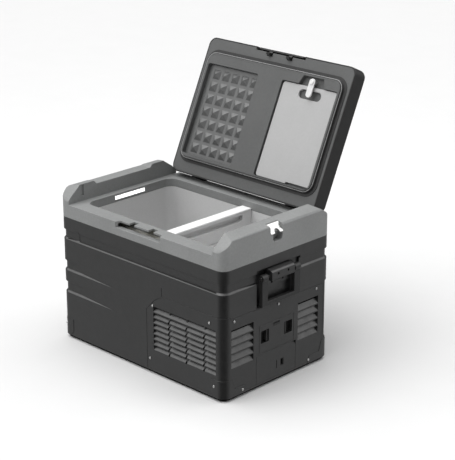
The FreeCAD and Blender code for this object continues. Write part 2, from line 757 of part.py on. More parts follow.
def interior_light():
    depth = "-opening_half_length - 1.3"
    housing = box("LedHousingBlock", (depth, "-opening_half_length + 1"), ("led_front", "led_back"),
                  ("led_low", "led_high"))
    floor = "-opening_half_length - 0.2"
    window = box("LedWindow", (floor, "-opening_half_length + 2"), ("led_front + 2", "led_back - 2"),
                 ("led_low + 2", "led_high - 2"))
    node("light_housing", cut("LedHousing", housing, window))
    node("light_lens", box("LedLens", (floor, "-opening_half_length + 1.6"),
                           ("led_front + 2.3", "led_back - 2.3"), ("led_low + 2.3", "led_high - 2.3")))


def base_parts():
    pan = chest_prism("PanBlock", "shell_wall + 0.3", ("body_bottom", "body_bottom + 4"))
    node("base_pan", cut("BasePan", pan, plate("PanHollow", ("-200", "40"), ("-120", "120"),
                                               ("body_bottom - 1", "body_bottom + 2"), "10")))
    feet = [rod(f"Foot{index}", "Z", (f"{sx} * 250", f"{sy} * 150"), "16", "0", "body_bottom")
            for index, (sx, sy) in enumerate(((1, -1), (1, 1), (-1, -1), (-1, 1)))]
    node("rubber_feet", group("Feet", feet))


def compressor_set():
    centre = ("compressor_x", "compressor_y")
    can = rod("CompressorCan", "Z", centre, "compressor_radius", "compressor_low", "compressor_high")
    dome = doc.addObject("Part::Sphere", "CompressorDome")
    dome.setExpression("Radius", bound("compressor_dome"))
    dome.setExpression("Placement.Base.x", bound("compressor_x"))
    dome.setExpression("Placement.Base.y", bound("compressor_y"))
    dome.setExpression("Placement.Base.z",
                       bound("compressor_high - sqrt(compressor_dome ^ 2 - compressor_radius ^ 2)"))
    dome_zone = rod("DomeZone", "Z", centre, "compressor_radius", "compressor_high", "compressor_high + 30")
    whole = fuse("CanWhole", can, common("DomeCap", dome, dome_zone))
    foot = number("compressor_low")
    rounded = round_edges("CanRound", whole, "8",
                          lambda edge: len(edge.Vertexes) == 1 and edge.CenterOfMass.z < foot + 1)
    hollow = rod("CompressorHollow", "Z", centre, "compressor_radius - compressor_wall",
                 "compressor_low + 4",
                 "compressor_high - 4")
    node("compressor_shell", cut("CompressorShell", rounded, hollow))
    node("compressor_motor", rod("Motor", "Z", centre, "motor_radius", "compressor_low + 8",
                                 "compressor_high - 18"))
    spots = [(f"compressor_x + {sx} * mount_reach", f"compressor_y + {sy} * mount_reach")
             for sy in (-1, 1) for sx in (-1, 1)]
    plate_low = "compressor_low - mount_plate"
    bracket = box("MountPlate", ("compressor_x - compressor_radius", "compressor_x + compressor_radius"),
                  ("compressor_y - compressor_radius", "compressor_y + compressor_radius"),
                  (plate_low, "compressor_low"))
    holes = [rod(f"MountHole{index}", "Z", spot, "4", f"{plate_low} - 1", "compressor_low + 1")
             for index, spot in enumerate(spots)]
    node("compressor_bracket", cut("Bracket", bracket, *holes))
    grommets = []
    for index, spot in enumerate(spots):
        body = rod(f"GrommetBody{index}", "Z", spot, "9", "body_bottom + 4", plate_low)
        bore = rod(f"GrommetBore{index}", "Z", spot, "3.6", "body_bottom", "compressor_low")
        grommets.append(cut(f"Grommet{index}", body, bore))
    node("compressor_grommets", group("Grommets", grommets))


def condenser():
    """A row of upright fins on a tube that runs to and fro through them."""
    depth = ("condenser_y - condenser_half", "condenser_y + condenser_half")
    fins = []
    for index in range(15):
        left = f"fin_start + {index} * fin_pitch"
        fins.append(box(f"Fin{index}", (left, f"{left} + fin_thick"), depth, ("fin_low", "fin_high")))
    runs, bores, bends = [], [], []
    for index in range(5):
        height = f"tube_low + {index} * tube_pitch"
        runs.append(rod(f"Tube{index}", "X", ("condenser_y", height), "tube_radius", "tube_left",
                        "tube_right"))
        bores.append(rod(f"FinBore{index}", "X", ("condenser_y", height), "tube_radius + 0.3",
                         "tube_left - 18",
                         "tube_right + 4"))
    for index in range(4):
        end = "tube_right" if index % 2 == 0 else "tube_left"
        height = f"tube_low + ({index} + 0.5) * tube_pitch"
        bend = doc.addObject("Part::Torus", f"Bend{index}")
        bend.setExpression("Radius1", bound("tube_pitch / 2"))
        bend.setExpression("Radius2", bound("tube_radius"))
        bend.Placement = Placement(Vector(), Rotation(Vector(1, 0, 0), 90))
        for axis, place in (("x", end), ("y", "condenser_y"), ("z", height)):
            bend.setExpression(f"Placement.Base.{axis}", bound(place))
        side = (end, f"{end} + 22") if index % 2 == 0 else (f"{end} - 22", end)
        zone = box(f"BendZone{index}", side, depth, (f"{height} - 21", f"{height} + 21"))
        bends.append(common(f"BendHalf{index}", bend, zone))
    node("condenser_fins", cut("FinStack", group("Fins", fins), *bores))
    node("condenser_tube", fuse("CondenserTube", *runs, *bends))


def fan():
    centre = ("fan_x", "fan_z")
    frame = box("FanFrame", ("fan_x - fan_half", "fan_x + fan_half"), ("fan_front", "fan_back"),
                ("fan_z - fan_half", "fan_z + fan_half"))
    ring = cut("FanRing", frame, rod("FanBore", "Y", centre, "fan_bore", "fan_front - 1", "fan_back + 1"))
    spoke_y = ("fan_back - 3", "fan_back")
    hub = rod("FanHubSeat", "Y", centre, "fan_hub", *spoke_y)
    reach = "fan_half - 2"
    spokes = [box("SpokeUpright", ("fan_x - 2", "fan_x + 2"), spoke_y,
                  (f"fan_z - ({reach})", f"fan_z + {reach}")),
              box("SpokeLevel", (f"fan_x - ({reach})", f"fan_x + {reach}"), spoke_y,
                  ("fan_z - 2", "fan_z + 2"))]
    bore = rod("FanShaftHole", "Y", centre, "shaft_radius + running_fit", "fan_back - 14", "fan_back + 6")
    node("fan_housing", cut("FanHousing", fuse("FanHousingBody", ring, hub, *spokes), bore))
    rotor_hub = rod("RotorHub", "Y", centre, "fan_hub", "fan_front + 2", "fan_back - 3.6")
    shaft = rod("RotorShaft", "Y", centre, "shaft_radius", "fan_front + 15", "fan_back - 0.4")
    count = 7
    root = Vector(16.5, 6.5, -7)
    middle = Vector(number("fan_x"), number("fan_front") + 11.5, number("fan_z"))
    lean = Rotation(Vector(1, 0, 0), 50)
    blades = []
    for index in range(count):
        blade = doc.addObject("Part::Box", f"FanBlade{index}")
        for size, value in (("Length", "fan_bore - 20"), ("Width", "2"), ("Height", "20")):
            blade.setExpression(size, bound(value))
        turn = Rotation(Vector(0, 1, 0), 360 * index / count)
        blade.Placement = Placement(turn.multVec(root) + middle, turn.multiply(lean))
        blades.append(blade)
    node("fan_rotor", fuse("FanRotor", rotor_hub, shaft, *blades))


def electronics():
    x = ("controller_left", "controller_right")
    y = ("controller_front", "controller_back")
    board = box("ControllerBoard", x, y, ("controller_low", "controller_low + 2"))
    blocks = []
    for name, left, front, long, deep, high in (("Coil", 8, 8, 20, 20, 18), ("Caps", 40, 12, 26, 12, 22),
                                                ("Sink", 8, 40, 58, 22, 14)):
        blocks.append(box(f"Controller{name}",
                          (f"controller_left + {left}", f"controller_left + {left + long}"),
                          (f"controller_front + {front}", f"controller_front + {front + deep}"),
                          ("controller_low + 2", f"controller_low + 2 + {high}")))
    node("controller_board", fuse("Controller", board, *blocks))
    top = "controller_low - 0.2"
    tray = box("ControllerTray", (f"{x[0]} - 4", f"{x[1]} + 4"), (f"{y[0]} - 4", f"{y[1]} + 4"),
               ("body_bottom + 4", top))
    hollow = box("ControllerTrayHollow", (f"{x[0]} - 1", f"{x[1]} + 1"), (f"{y[0]} - 1", f"{y[1]} + 1"),
                 ("body_bottom + 7", "controller_low + 1"))
    posts = []
    for end_x, left in (("L", x[0]), ("R", f"{x[1]} - 5")):
        for end_y, front in (("F", y[0]), ("B", f"{y[1]} - 5")):
            posts.append(box(f"BoardPost{end_x}{end_y}", (left, f"{left} + 5"), (front, f"{front} + 5"),
                             ("body_bottom + 6", top)))
    node("controller_tray", fuse("ControllerTrayBody", cut("TrayShell", tray, hollow), *posts))


def battery_parts():
    inside_x = "length / 2 - battery_depth"
    y_span = ("battery_front", "battery_back")
    case = box("BatteryCase", (inside_x, "length / 2"), y_span, ("battery_low", "battery_high"))
    grips = [box(f"Grip{index}", ("length / 2 - grip_depth", "length / 2 + 1"), span,
                 ("grip_low", "grip_high"))
             for index, span in enumerate((("-62", "-34"), ("23", "51")))]
    tab_slot = box("TabSlot", ("length / 2 - 2.2", "length / 2 + 1"), ("-17", "5"), ("154", "163"))
    contact_slot = box("ContactSlot", (f"{inside_x} - 1", f"{inside_x} + 16"), ("-36", "24"), ("122", "140"))
    node("battery_pack", cut("BatteryPack", case, *grips, tab_slot, contact_slot))
    node("battery_tab", box("BatteryTab", ("length / 2 - 2", "length / 2 + 0.6"), ("-16.7", "4.7"),
                            ("154.3", "159.5")))
    for side, span in (("left", ("-41", "-37.5")), ("right", ("26.5", "30"))):
        node(f"battery_latch_{side}",
             box(f"BatteryLatch{side.title()}", ("length / 2 - 11.5", "length / 2 - 1.5"),
                                          span, ("grip_low + 2", "grip_high - 2")))
    bay_outer = box("BayOuter", (f"{inside_x} - 6", "length / 2 - shell_wall - 0.3"),
                    ("battery_front - 3", "battery_back + 3"),
                    ("battery_low - 3", "battery_high + 3"))
    bay_inner = box("BayInner", (f"{inside_x} - 3", "length / 2 + 1"),
                    ("battery_front - fit_gap", "battery_back + fit_gap"),
                    ("battery_low - fit_gap", "battery_high + fit_gap"))
    contact_places = (-24, -6, 12)
    blade_slots = [box(f"BladeSlot{index}", (f"{inside_x} - 7", f"{inside_x} - 2"),
                       (f"{y} - 1.2", f"{y} + 1.2"),
                       ("125.8", "136.2")) for index, y in enumerate(contact_places)]
    legs = [box(f"BayLeg{index}", (f"{x}", f"{x + 6}"), (f"{y}", f"{y + 6}"),
                ("body_bottom + 4", "battery_low - 3"))
            for index, (x, y) in enumerate(((200, -68), (280, -68), (200, 50), (280, 50)))]
    node("battery_bay", fuse("BatteryBay", cut("BayShell", bay_outer, bay_inner, *blade_slots), *legs))
    blades = [box(f"ContactBlade{index}", (f"{inside_x} - 9", f"{inside_x} + 12"), (f"{y} - 1", f"{y} + 1"),
                  ("126", "136")) for index, y in enumerate(contact_places)]
    node("battery_contacts", group("Contacts", blades))


def port_parts():
    panel_x = ("length / 2 - cover_thick", "length / 2")
    panel = prism("PortPanelBlock", "YZ",
                  [("port_front", "port_low"), ("port_front", "port_high"), ("port_back - 12", "port_high"),
                   ("port_back - 3.5", "port_high - 3.5"), ("port_back", "port_high - 12"),
                   ("port_back", "port_low")],
                  *panel_x)
    slit = box("PortSlit", ("length / 2 - 5", "length / 2 + 1"), ("-5.3", "-3.7"), ("35", "57"))
    hole = box("PortHoleCut", ("length / 2 - 5", "length / 2 + 1"),
               ("socket_front - 0.2", "socket_back + 0.2"),
               ("socket_low - 0.2", "socket_high + 0.2"))
    node("port_panel", cut("PortPanel", panel, slit, hole))
    socket = box("SocketBody", ("length / 2 - 24", "length / 2 - 0.5"), ("socket_front", "socket_back"),
                 ("socket_low", "socket_high"))
    cavity = box("SocketCavity", ("length / 2 - 18", "length / 2"),
                 ("socket_front + 1.5", "socket_back - 1.5"),
                 ("socket_low + 2", "socket_high - 2"))
    node("power_socket", cut("PowerSocket", socket, cavity))
    pins = [rod(f"SocketPin{index}", "X", ("(socket_front + socket_back) / 2", f"socket_low + {z}"), "1.4",
                "length / 2 - 18", "length / 2 - 6")
            for index, z in enumerate((6, 14))]
    node("socket_pins", group("SocketPins", pins))


def handle(side, sign):
    """A fixed bracket, a hanging bail and the pin between them."""
    tag = side.title()
    profile = prism(
        tag + "BracketProfile", "XZ",
        [(f"{sign} * recess_floor", "262"), (f"{sign} * (recess_floor + 5)", "262"),
         (f"{sign} * (recess_floor + 5)", "283"), (f"{sign} * (bracket_face - 3)", "283"),
         (f"{sign} * bracket_face", "286"), (f"{sign} * bracket_face", "305"),
         (f"{sign} * (bracket_face - 4)", "309"), (f"{sign} * recess_floor", "314")],
        "-bracket_half", "bracket_half")
    face_x = mirrored(("bracket_face - 5", "bracket_face + 1"), sign)
    base_x = mirrored(("recess_floor + 2", "recess_floor + 6"), sign)
    bores = [rod(f"{tag}BracketHole{index}", "X", (f"{y}", z), "3", *spans)
             for index, (y, z, spans) in enumerate(((-18, "298", face_x), (18, "298", face_x),
                                                    (-20, "271", base_x), (20, "271", base_x)))]
    centre = (f"{sign} * pivot_x", "pivot_z")
    pin_bore = rod(tag + "BracketBore", "Y", centre, "handle_pin_radius + running_fit", "-width / 4",
                   "width / 4")
    node(f"handle_bracket_{side}", cut(tag + "Bracket", profile, *bores, pin_bore))
    arms = []
    for end, span in (("A", ("bail_inner", "bail_outer")), ("B", ("-bail_outer", "-bail_inner"))):
        arms.append(box(f"{tag}Arm{end}", mirrored(("bail_back", "bail_front"), sign), span,
                        ("bail_bottom", "pivot_z")))
        arms.append(rod(f"{tag}Eye{end}", "Y", centre, "eye_radius", *span))
    bar = box(tag + "Bar", mirrored(("bail_back", "bail_front"), sign), ("-bail_outer", "bail_outer"),
              ("bail_bottom", "bail_bottom + grip_bar"))
    eye_bore = rod(tag + "EyeBore", "Y", centre, "handle_pin_radius + running_fit", "-width / 4",
                   "width / 4")
    bail = cut(tag + "BailRaw", fuse(tag + "BailBody", *arms, bar), eye_bore)
    bottom = number("bail_bottom")
    node(f"handle_bail_{side}", round_edges(
        tag + "Bail", bail, "3.5",
        lambda edge: edge.CenterOfMass.z < bottom + 0.1 and runs_along(edge, Vector(0, 1, 0))))
    node(f"handle_pin_{side}", rod(tag + "Pin", "Y", centre, "handle_pin_radius", "-bail_outer",
                                   "bail_outer"))


def open_pose():
    """The turn that takes the closed lid to its open stop."""
    centre = Vector(0, number("hinge_y"), number("hinge_z"))
    return Placement(Vector(), Rotation(Vector(1, 0, 0), -number("lid_open_angle")), centre)


def lid_block(name, inset, z, radius):
    return plate(name, (f"-lid_half + ({inset})", f"lid_half - ({inset})"),
                 (f"lid_front + ({inset})", f"lid_back - ({inset})"), z, radius)


def hinge_zone(name, half, front, low, top):
    """The two notches in the lid's back edge that the hinges work in."""
    return fuse(name, *[box(f"{name}{side}",
                            (f"{sign} * hinge_offset - ({half})", f"{sign} * hinge_offset + ({half})"),
                            (front, "lid_back + 1"), (low, top))
                        for side, sign in (("R", 1), ("L", -1))])


def latch_notch(name, grow, low):
    return box(name, (f"-latch_notch_half - ({grow})", f"latch_notch_half + ({grow})"),
               ("lid_front - 1", f"lid_front + latch_notch_depth + ({grow})"),
               (low, f"latch_notch_top + ({grow})"))


def lid():
    pose = open_pose()
    block = lid_block("LidBlock", "0", ("lid_low", "lid_high"), "lid_radius")
    top_z = number("lid_high")
    domed = round_edges("LidDomed", block, "9", lambda edge: edge.CenterOfMass.z > top_z - 0.1)
    hollow = lid_block("LidHollow", "lid_wall", ("lid_low - 1", "lid_high - lid_wall"),
                       "lid_radius - lid_wall")
    shell = cut("LidShellRaw", domed, hollow)
    above_panel = "lid_low + inner_panel"
    hinge_walls = common("HingeWalls",
                         hinge_zone("HingeWallZone", "notch_half + 3", "notch_front - 3", above_panel,
                                    "notch_top + 4"),
                         lid_block("HingeWallLimit", "1", ("lid_low", "lid_high - 1"), "lid_radius - 1"))
    latch_walls = common("LatchWalls", latch_notch("LatchWallZone", "3", above_panel),
                         lid_block("LatchWallLimit", "1", ("lid_low", "lid_high - 1"), "lid_radius - 1"))
    panel_seat = box("PanelSeat", ("panel_x - panel_half_x", "panel_x + panel_half_x"),
                     ("panel_y - panel_half_y", "panel_y + panel_half_y"),
                     ("lid_high - 1.6", "lid_high + 1"))
    panel_hole = box("PanelHole", ("panel_x - panel_half_x + 5", "panel_x + panel_half_x - 5"),
                     ("panel_y - panel_half_y + 5", "panel_y + panel_half_y - 5"),
                     ("lid_high - 5", "lid_high"))
    node("lid_outer", cut("LidOuter", fuse("LidShellWalls", shell, hinge_walls, latch_walls),
                          hinge_zone("HingeNotch", "notch_half", "notch_front", above_panel, "notch_top"),
                          latch_notch("LatchNotch", "0", "lid_low - 1"), panel_seat, panel_hole,
                          *latch_bores("Outer", "latch_notch_half + 5")), pose)
    lid_inner(pose)
    lid_foam(pose)
    hinges(pose)
    latch(pose)
    latch_spring(pose)
    control_panel(pose)


def plateau(name, inset, z):
    return plate(name, (f"-plateau_half + ({inset})", f"plateau_half - ({inset})"),
                 (f"plateau_front + ({inset})", f"plateau_back - ({inset})"), z,
                 f"plateau_radius - ({inset})")


def lid_inner(pose):
    panel = lid_block("InnerPanel", "lid_wall + 0.3", ("lid_low", "lid_low + 3"), "lid_radius - lid_wall")
    raised = plateau("Plateau", "0", ("plateau_low", "lid_low + 1"))
    cushion_x = ("cushion_left", "cushion_right")
    cushion_y = ("cushion_front", "cushion_back")
    tub = plate("CushionTub", ("cushion_left - 2.5", "cushion_right + 2.5"),
                ("cushion_front - 2.5", "cushion_back + 2.5"),
                ("plateau_low + 1", "cushion_floor + 3"), "8")
    board_block = box("BoardTubBlock", ("board_left - 6", "board_right + 4"),
                      ("board_front - 30", "board_back + 4"),
                      ("plateau_low + 1", "lid_low + 3"))
    board_tub = common("BoardTub", board_block,
                       plateau("BoardTubLimit", "0", ("plateau_low", "lid_low + 4")))
    solid = fuse("InnerSolid", panel, raised, tub, board_tub)
    cushion_seat = plate("CushionSeat", cushion_x, cushion_y, ("plateau_low - 1", "cushion_floor"), "6")
    board_seat = plate("BoardSeat", ("board_left - board_side_gap", "board_right + board_gap"),
                       ("board_front - board_gap", "board_back + board_gap"),
                       ("plateau_low - 1", "board_high + 0.3"), "6")
    tab = prism("ClipRecess", "XY",
                [("98", "board_front"), ("108", "plateau_front + 5"), ("176", "plateau_front + 5"),
                 ("187", "board_front")], "plateau_low - 1", "board_high + 0.3")
    under = plateau("PlateauUnder", "2.5", ("plateau_low + 2.5", "lid_low + 4"))
    ribs = fuse("PlateauRibs", tub, board_tub)
    hollow = cut("PlateauHollow", under, ribs)
    latch_gap = box("InnerLatchGap", ("-latch_notch_half - inner_panel", "latch_notch_half + inner_panel"),
                    ("lid_front - 1", "lid_front + latch_inner_depth"), ("lid_low - 1", "lid_low + 4"))
    hook_gaps = [box(f"HookGap{index}", hook_span(sign),
                     ("lid_front", "lid_front + latch_notch_depth + inner_panel"),
                     ("lid_low - 1", "lid_low + 4")) for index, sign in enumerate((-1, 1))]
    node("lid_inner", cut("LidInner", solid, cushion_seat, board_seat, tab, hollow, latch_gap, *hook_gaps),
         pose)
    mat = plate("CushionMat", ("cushion_left + 0.4", "cushion_right - 0.4"),
                ("cushion_front + 0.4", "cushion_back - 0.4"),
                ("cushion_floor - 2.3", "cushion_floor"), "5")
    node("cushion_tray", fuse("CushionTray", mat, *pyramids()), pose)


def pyramids():
    """Rows of four-sided studs that stand off the cushion mat, towards the food."""
    items = []
    for row in range(7):
        for column in range(5):
            stud = doc.addObject("Part::Wedge", f"Stud{row}_{column}")
            for edge, size in (("Xmin", "-stud_half"), ("Xmax", "stud_half"), ("Zmin", "-stud_half"),
                               ("Zmax", "stud_half"), ("X2min", "-1.5"), ("X2max", "1.5"), ("Z2min", "-1.5"),
                               ("Z2max", "1.5"), ("Ymin", "0"), ("Ymax", "stud_height")):
                stud.setExpression(edge, bound(size))
            stud.Placement = Placement(Vector(), Rotation(Vector(1, 0, 0), -90))
            for axis, place in (("x", f"cushion_left + stud_start + {column} * stud_pitch"),
                                ("y", f"cushion_front + 25 + {row} * stud_pitch"),
                                ("z", "cushion_floor - 2")):
                stud.setExpression(f"Placement.Base.{axis}", bound(place))
            items.append(stud)
    return items


def lid_foam(pose):
    block = lid_block("LidFoamBlock", "lid_wall + 0.4", ("lid_low + 6.5", "lid_high - lid_wall - 0.4"),
                      "lid_radius - lid_wall")
    panel_room = box("PanelRoom", ("panel_x - panel_half_x", "panel_x + panel_half_x"),
                     ("panel_y - panel_half_y", "panel_y + panel_half_y"), ("lid_high - 22", "lid_high"))
    hinge_room = hinge_zone("FoamHingeNotch", "notch_half + 4", "notch_front - 4", "lid_low",
                            "notch_top + 5")
    node("lid_foam", cut("LidFoam", block, hinge_room, latch_notch("FoamLatchNotch", "4", "lid_low"),
                         panel_room),
         pose)


def lid_gasket(pose):
    flange = cut("GasketFlange", plateau("GasketFlangeOut", "-13", ("lid_low - 1.8", "lid_low")),
                 plateau("GasketFlangeIn", "-0.3", ("lid_low - 3", "lid_low + 1")))
    bead = cut("GasketBead", plateau("GasketBeadOut", "-4.5", ("plateau_low + 3", "lid_low - 1")),
               plateau("GasketBeadIn", "-0.3", ("plateau_low", "lid_low + 1")))
    node("lid_gasket", fuse("Gasket", flange, bead), pose)


def cutting_board(pose):
    board = plate("BoardBlock", ("board_left", "board_right"), ("board_front", "board_back"),
                  ("board_low", "board_high"), "8")
    slot = plate("BoardSlot", ("105", "180"), ("board_front + 10", "board_front + 34"),
                 ("board_low - 1", "board_high + 1"),
                 "11.9")
    step = box("BoardStep", ("150", "board_right + 1"), ("board_back - 5", "board_back + 1"),
               ("board_low - 1", "board_high + 1"))
    node("cutting_board", cut("Board", board, slot, step), pose)
    stud = rod("ClipStud", "Z", ("clip_x", "clip_y"), "3", "clip_low - 1.5", "board_high + 0.3")
    head = rod("ClipHead", "Z", ("clip_x", "clip_y"), "6", "clip_low - 2.5", "clip_low - 0.3")
    collar = rod("ClipCollar", "Z", ("clip_x", "clip_y"), "7", "clip_high + 0.3", "board_high + 0.3")
    node("clip_stud", fuse("BoardClipStud", stud, head, collar), pose)
    arm = plate("ClipArm", ("clip_x - 9", "clip_x + 9"), ("clip_y - 10", "clip_y + 40"),
                ("clip_low", "clip_high"), "8.5")
    bore = rod("ClipBore", "Z", ("clip_x", "clip_y"), "3 + running_fit", "clip_low - 1", "clip_high + 1")
    node("board_clip", cut("BoardClip", arm, bore), pose)


def hinges(pose):
    """Lugs that reach from the back of the frame into the lid, with their pins and the lid's cheeks."""
    lugs, pins, cheeks = [], [], []
    centre = ("hinge_y", "hinge_z")
    half = "lug_arm_half * sqrt(2)"
    outline = [("width / 2", "strip_low + 6"), ("lug_back", "strip_low + 12"),
               ("lug_back", f"hinge_z + hinge_y - lug_back + {half}"),
               (f"hinge_y + lug_radius / 2 + {half} / 2", f"hinge_z - lug_radius / 2 + {half} / 2"),
               (f"hinge_y + lug_radius / 2 - {half} / 2", f"hinge_z - lug_radius / 2 - {half} / 2"),
               (f"hinge_y + hinge_z - strip_top + 0.4 - {half}", "strip_top - 0.4"),
               ("width / 2", "strip_top - 0.4")]
    for side, sign in (("R", 1), ("L", -1)):
        x = f"{sign} * hinge_offset"
        arm = prism(f"LugArm{side}", "YZ", outline, f"{x} - lug_half", f"{x} + lug_half")
        barrel = rod(f"LugBarrel{side}", "X", centre, "lug_radius", f"{x} - lug_half", f"{x} + lug_half")
        bore = rod(f"LugBore{side}", "X", centre, "hinge_pin_radius + running_fit", f"{x} - notch_half",
                   f"{x} + notch_half")
        lugs.append(cut(f"Lug{side}", fuse(f"LugBody{side}", arm, barrel), bore))
        pins.append(rod(f"HingePin{side}", "X", centre, "hinge_pin_radius", f"{x} - notch_half + 1",
                        f"{x} + notch_half - 1"))
        for end, (low, high) in (("A", (f"{x} - notch_half", f"{x} - lug_half - 0.5")),
                                 ("B", (f"{x} + lug_half + 0.5", f"{x} + notch_half"))):
            block = box(f"Cheek{side}{end}", (low, high), ("notch_front", "lid_back"),
                        ("lid_low + inner_panel", "notch_top"))
            hole = rod(f"CheekBore{side}{end}", "X", centre, "hinge_pin_radius + running_fit", f"{low} - 1",
                       f"{high} + 1")
            cheeks.append(cut(f"CheekBored{side}{end}", block, hole))
    node("hinge_lugs", group("HingeLugs", lugs))
    node("hinge_pins", group("HingePins", pins))
    node("lid_hinge_cheeks", group("HingeCheeks", cheeks), pose)


def hook_span(sign):
    """The width that each latch hook needs to move in."""
    return (f"{sign} * hook_offset - hook_half - 3", f"{sign} * hook_offset + hook_half + 3")


def latch_bores(tag, half):
    return [rod(f"LatchBore{tag}", "X", ("latch_pivot_y", "latch_pivot_z"), "latch_pin_radius + running_fit",
                f"-({half})", half)]


def latch(pose):
    plate_part = prism(
        "LatchPlate", "YZ",
        [("lid_front + 0.5", "lid_low + 2"), ("lid_front + 0.5", "latch_pivot_z - 1"),
         ("lid_front + 2.5", "latch_pivot_z + 3.6"), ("latch_pivot_y + 2", "latch_pivot_z + 3.6"),
         ("latch_pivot_y + 4", "latch_pivot_z - 3"), ("lid_front + 5", "latch_pivot_z - 8"),
         ("lid_front + 5", "lid_low + 2")],
        "-latch_half", "latch_half")
    hooks = []
    for index, sign in enumerate((-1, 1)):
        x = (f"{sign} * hook_offset - hook_half", f"{sign} * hook_offset + hook_half")
        hooks.append(prism(
            f"Hook{index}", "YZ",
            [("lid_front + 4", "lid_low + 10"), ("lid_front + 4", "lid_low + 4"),
             ("lid_front + 10", "lid_low - 1"),
             ("lid_front + 10", "lid_low - 11"), ("lid_front + 17", "lid_low - 9"),
             ("lid_front + 17", "lid_low - 6"),
             ("lid_front + 13.5", "lid_low - 5"), ("lid_front + 13.5", "lid_low + 3"),
             ("lid_front + 8", "lid_low + 10")],
            *x))
    node("latch_lever", cut("LatchLever", fuse("LatchBody", plate_part, *hooks),
                            *latch_bores("Lever", "latch_half + 5")),
         pose)
    pin = rod("LatchPin", "X", ("latch_pivot_y", "latch_pivot_z"), "latch_pin_radius",
              "-latch_notch_half - 3",
              "latch_notch_half + 3")
    node("latch_pin", fuse("LatchPinBody", pin,
                           rod("LatchPinHead", "X", ("latch_pivot_y", "latch_pivot_z"), "1.5",
                                                    "-latch_notch_half - 2", "latch_notch_half + 2")), pose)


def latch_spring(pose):
    """The closed outer shape of the small torsion coil round the latch pin."""
    centre = ("latch_pivot_y", "latch_pivot_z")
    coil = rod("SpringCoil", "X", centre, "3.4", "latch_half + 1", "latch_half + 5")
    bore = rod("SpringBore", "X", centre, "latch_pin_radius + 0.3", "latch_half", "latch_half + 6")
    node("latch_spring", cut("LatchSpring", coil, bore), pose)


def control_panel(pose):
    seat_z = "lid_high - 1.6"
    frame = box("PanelFrameBlock", ("panel_x - panel_half_x + 0.3", "panel_x + panel_half_x - 0.3"),
                ("panel_y - panel_half_y + 0.3", "panel_y + panel_half_y - 0.3"), (seat_z, "lid_high + 0.4"))
    button_x = [f"panel_x + {offset}" for offset in (4, 24, 44)]
    holes = [rod(f"ButtonHole{index}", "Z", (x, "panel_y"), "7.3", "lid_high - 6", "lid_high + 2")
             for index, x in enumerate(button_x)]
    display_seat = box("DisplaySeat", ("panel_x - 54", "panel_x - 10"), ("panel_y - 15", "panel_y + 15"),
                       ("lid_high - 0.8", "lid_high + 1"))
    node("panel_frame", cut("PanelFrame", frame, display_seat, *holes), pose)
    node("display_window", box("DisplayWindow", ("panel_x - 53.7", "panel_x - 10.3"),
                               ("panel_y - 14.7", "panel_y + 14.7"),
                               ("lid_high - 0.8", "lid_high + 0.3")), pose)
    board = box("PanelBoard", ("panel_x - 56", "panel_x + 56"), ("panel_y - 18", "panel_y + 18"),
                ("lid_high - 10", "lid_high - 8.4"))
    node("display_board", board, pose)
    for name, x in zip(("power_button", "up_button", "down_button"), button_x):
        cap = rod(name + "Cap", "Z", (x, "panel_y"), "7", "lid_high - 5.2", "lid_high + 1.4")
        stem = rod(name + "Stem", "Z", (x, "panel_y"), "3", "lid_high - 7", "lid_high - 5")
        node(name, fuse(name + "Body", cap, stem), pose)


# places of the case screws: depth or length along the wall, and height
RIGHT_SCREWS = ((-157, 208), (0, 208), (141, 208), (-127, 19), (115, 19))
LEFT_SCREWS = ((-127, 19), (115, 19))
FRONT_SCREWS = ((52, 188), (252, 202), (40, 42), (267, 38), (-284, 42))
BACK_SCREWS = ((267, 38), (-267, 38))


def case_screw_rods(name, radius, bury, stand):
    """A rod at each case screw, from bury behind the chest's outline to stand in front of it."""
    rods = []
    for index, (y, z) in enumerate(RIGHT_SCREWS):
        rods.append(rod(f"{name}Right{index}", "X", (f"{y}", f"{z}"), radius, f"length / 2 - ({bury})",
                        f"length / 2 + ({stand})"))
    for index, (y, z) in enumerate(LEFT_SCREWS):
        rods.append(rod(f"{name}Left{index}", "X", (f"{y}", f"{z}"), radius, f"-length / 2 - ({stand})",
                        f"-length / 2 + ({bury})"))
    for index, (x, z) in enumerate(FRONT_SCREWS):
        rods.append(rod(f"{name}Front{index}", "Y", (f"{x}", f"{z}"), radius, f"-width / 2 - ({stand})",
                        f"-width / 2 + ({bury})"))
    for index, (x, z) in enumerate(BACK_SCREWS):
        rods.append(rod(f"{name}Back{index}", "Y", (f"{x}", f"{z}"), radius, f"width / 2 - ({bury})",
                        f"width / 2 + ({stand})"))
    return rods


def case_screws():
    heads = case_screw_rods("ScrewHead", "3.4", "-guard_stand", "guard_stand + 1.2")
    shanks = case_screw_rods("ScrewShank", "1.6", "5.5", "guard_stand + 0.5")
    node("case_screws", group("CaseScrews", [fuse(f"CaseScrew{index}", head, shank)
                                             for index, (head, shank) in enumerate(zip(heads, shanks))]))


def check_and_export():
    doc.recompute()
    failed = [item.Name for item in doc.Objects if {"Invalid", "Error"} & set(item.State)]
    if failed:
        raise RuntimeError(f"objects failed: {failed}")
    for label, item in nodes.items():
        if item.Shape.isNull() or not item.Shape.isValid():
            raise RuntimeError(f"{label} has no valid shape")
    os.makedirs("parts", exist_ok=True)
    for label, item in nodes.items():
        item.Shape.exportStep(f"parts/{label}.step")
    print(len(nodes), "sub-parts")


outer_shell()
vent_cover()
corner_guards()
top_frame()
opener_blade()
liner()
evaporator()
insulation()
divider()
interior_light()
base_parts()
compressor_set()
condenser()
fan()
electronics()
battery_parts()
port_parts()
handle("right", 1)
handle("left", -1)
lid()
lid_gasket(open_pose())
cutting_board(open_pose())
case_screws()
check_and_export()
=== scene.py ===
"""Looks of the compressor cooler fridge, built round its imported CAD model.

It adds finishes, rounded edges and small parts, and the stage, light and camera."""

import json
import math

import bmesh
import bpy
from mathutils import Matrix, Vector
from mathutils.geometry import delaunay_2d_cdt, intersect_point_line

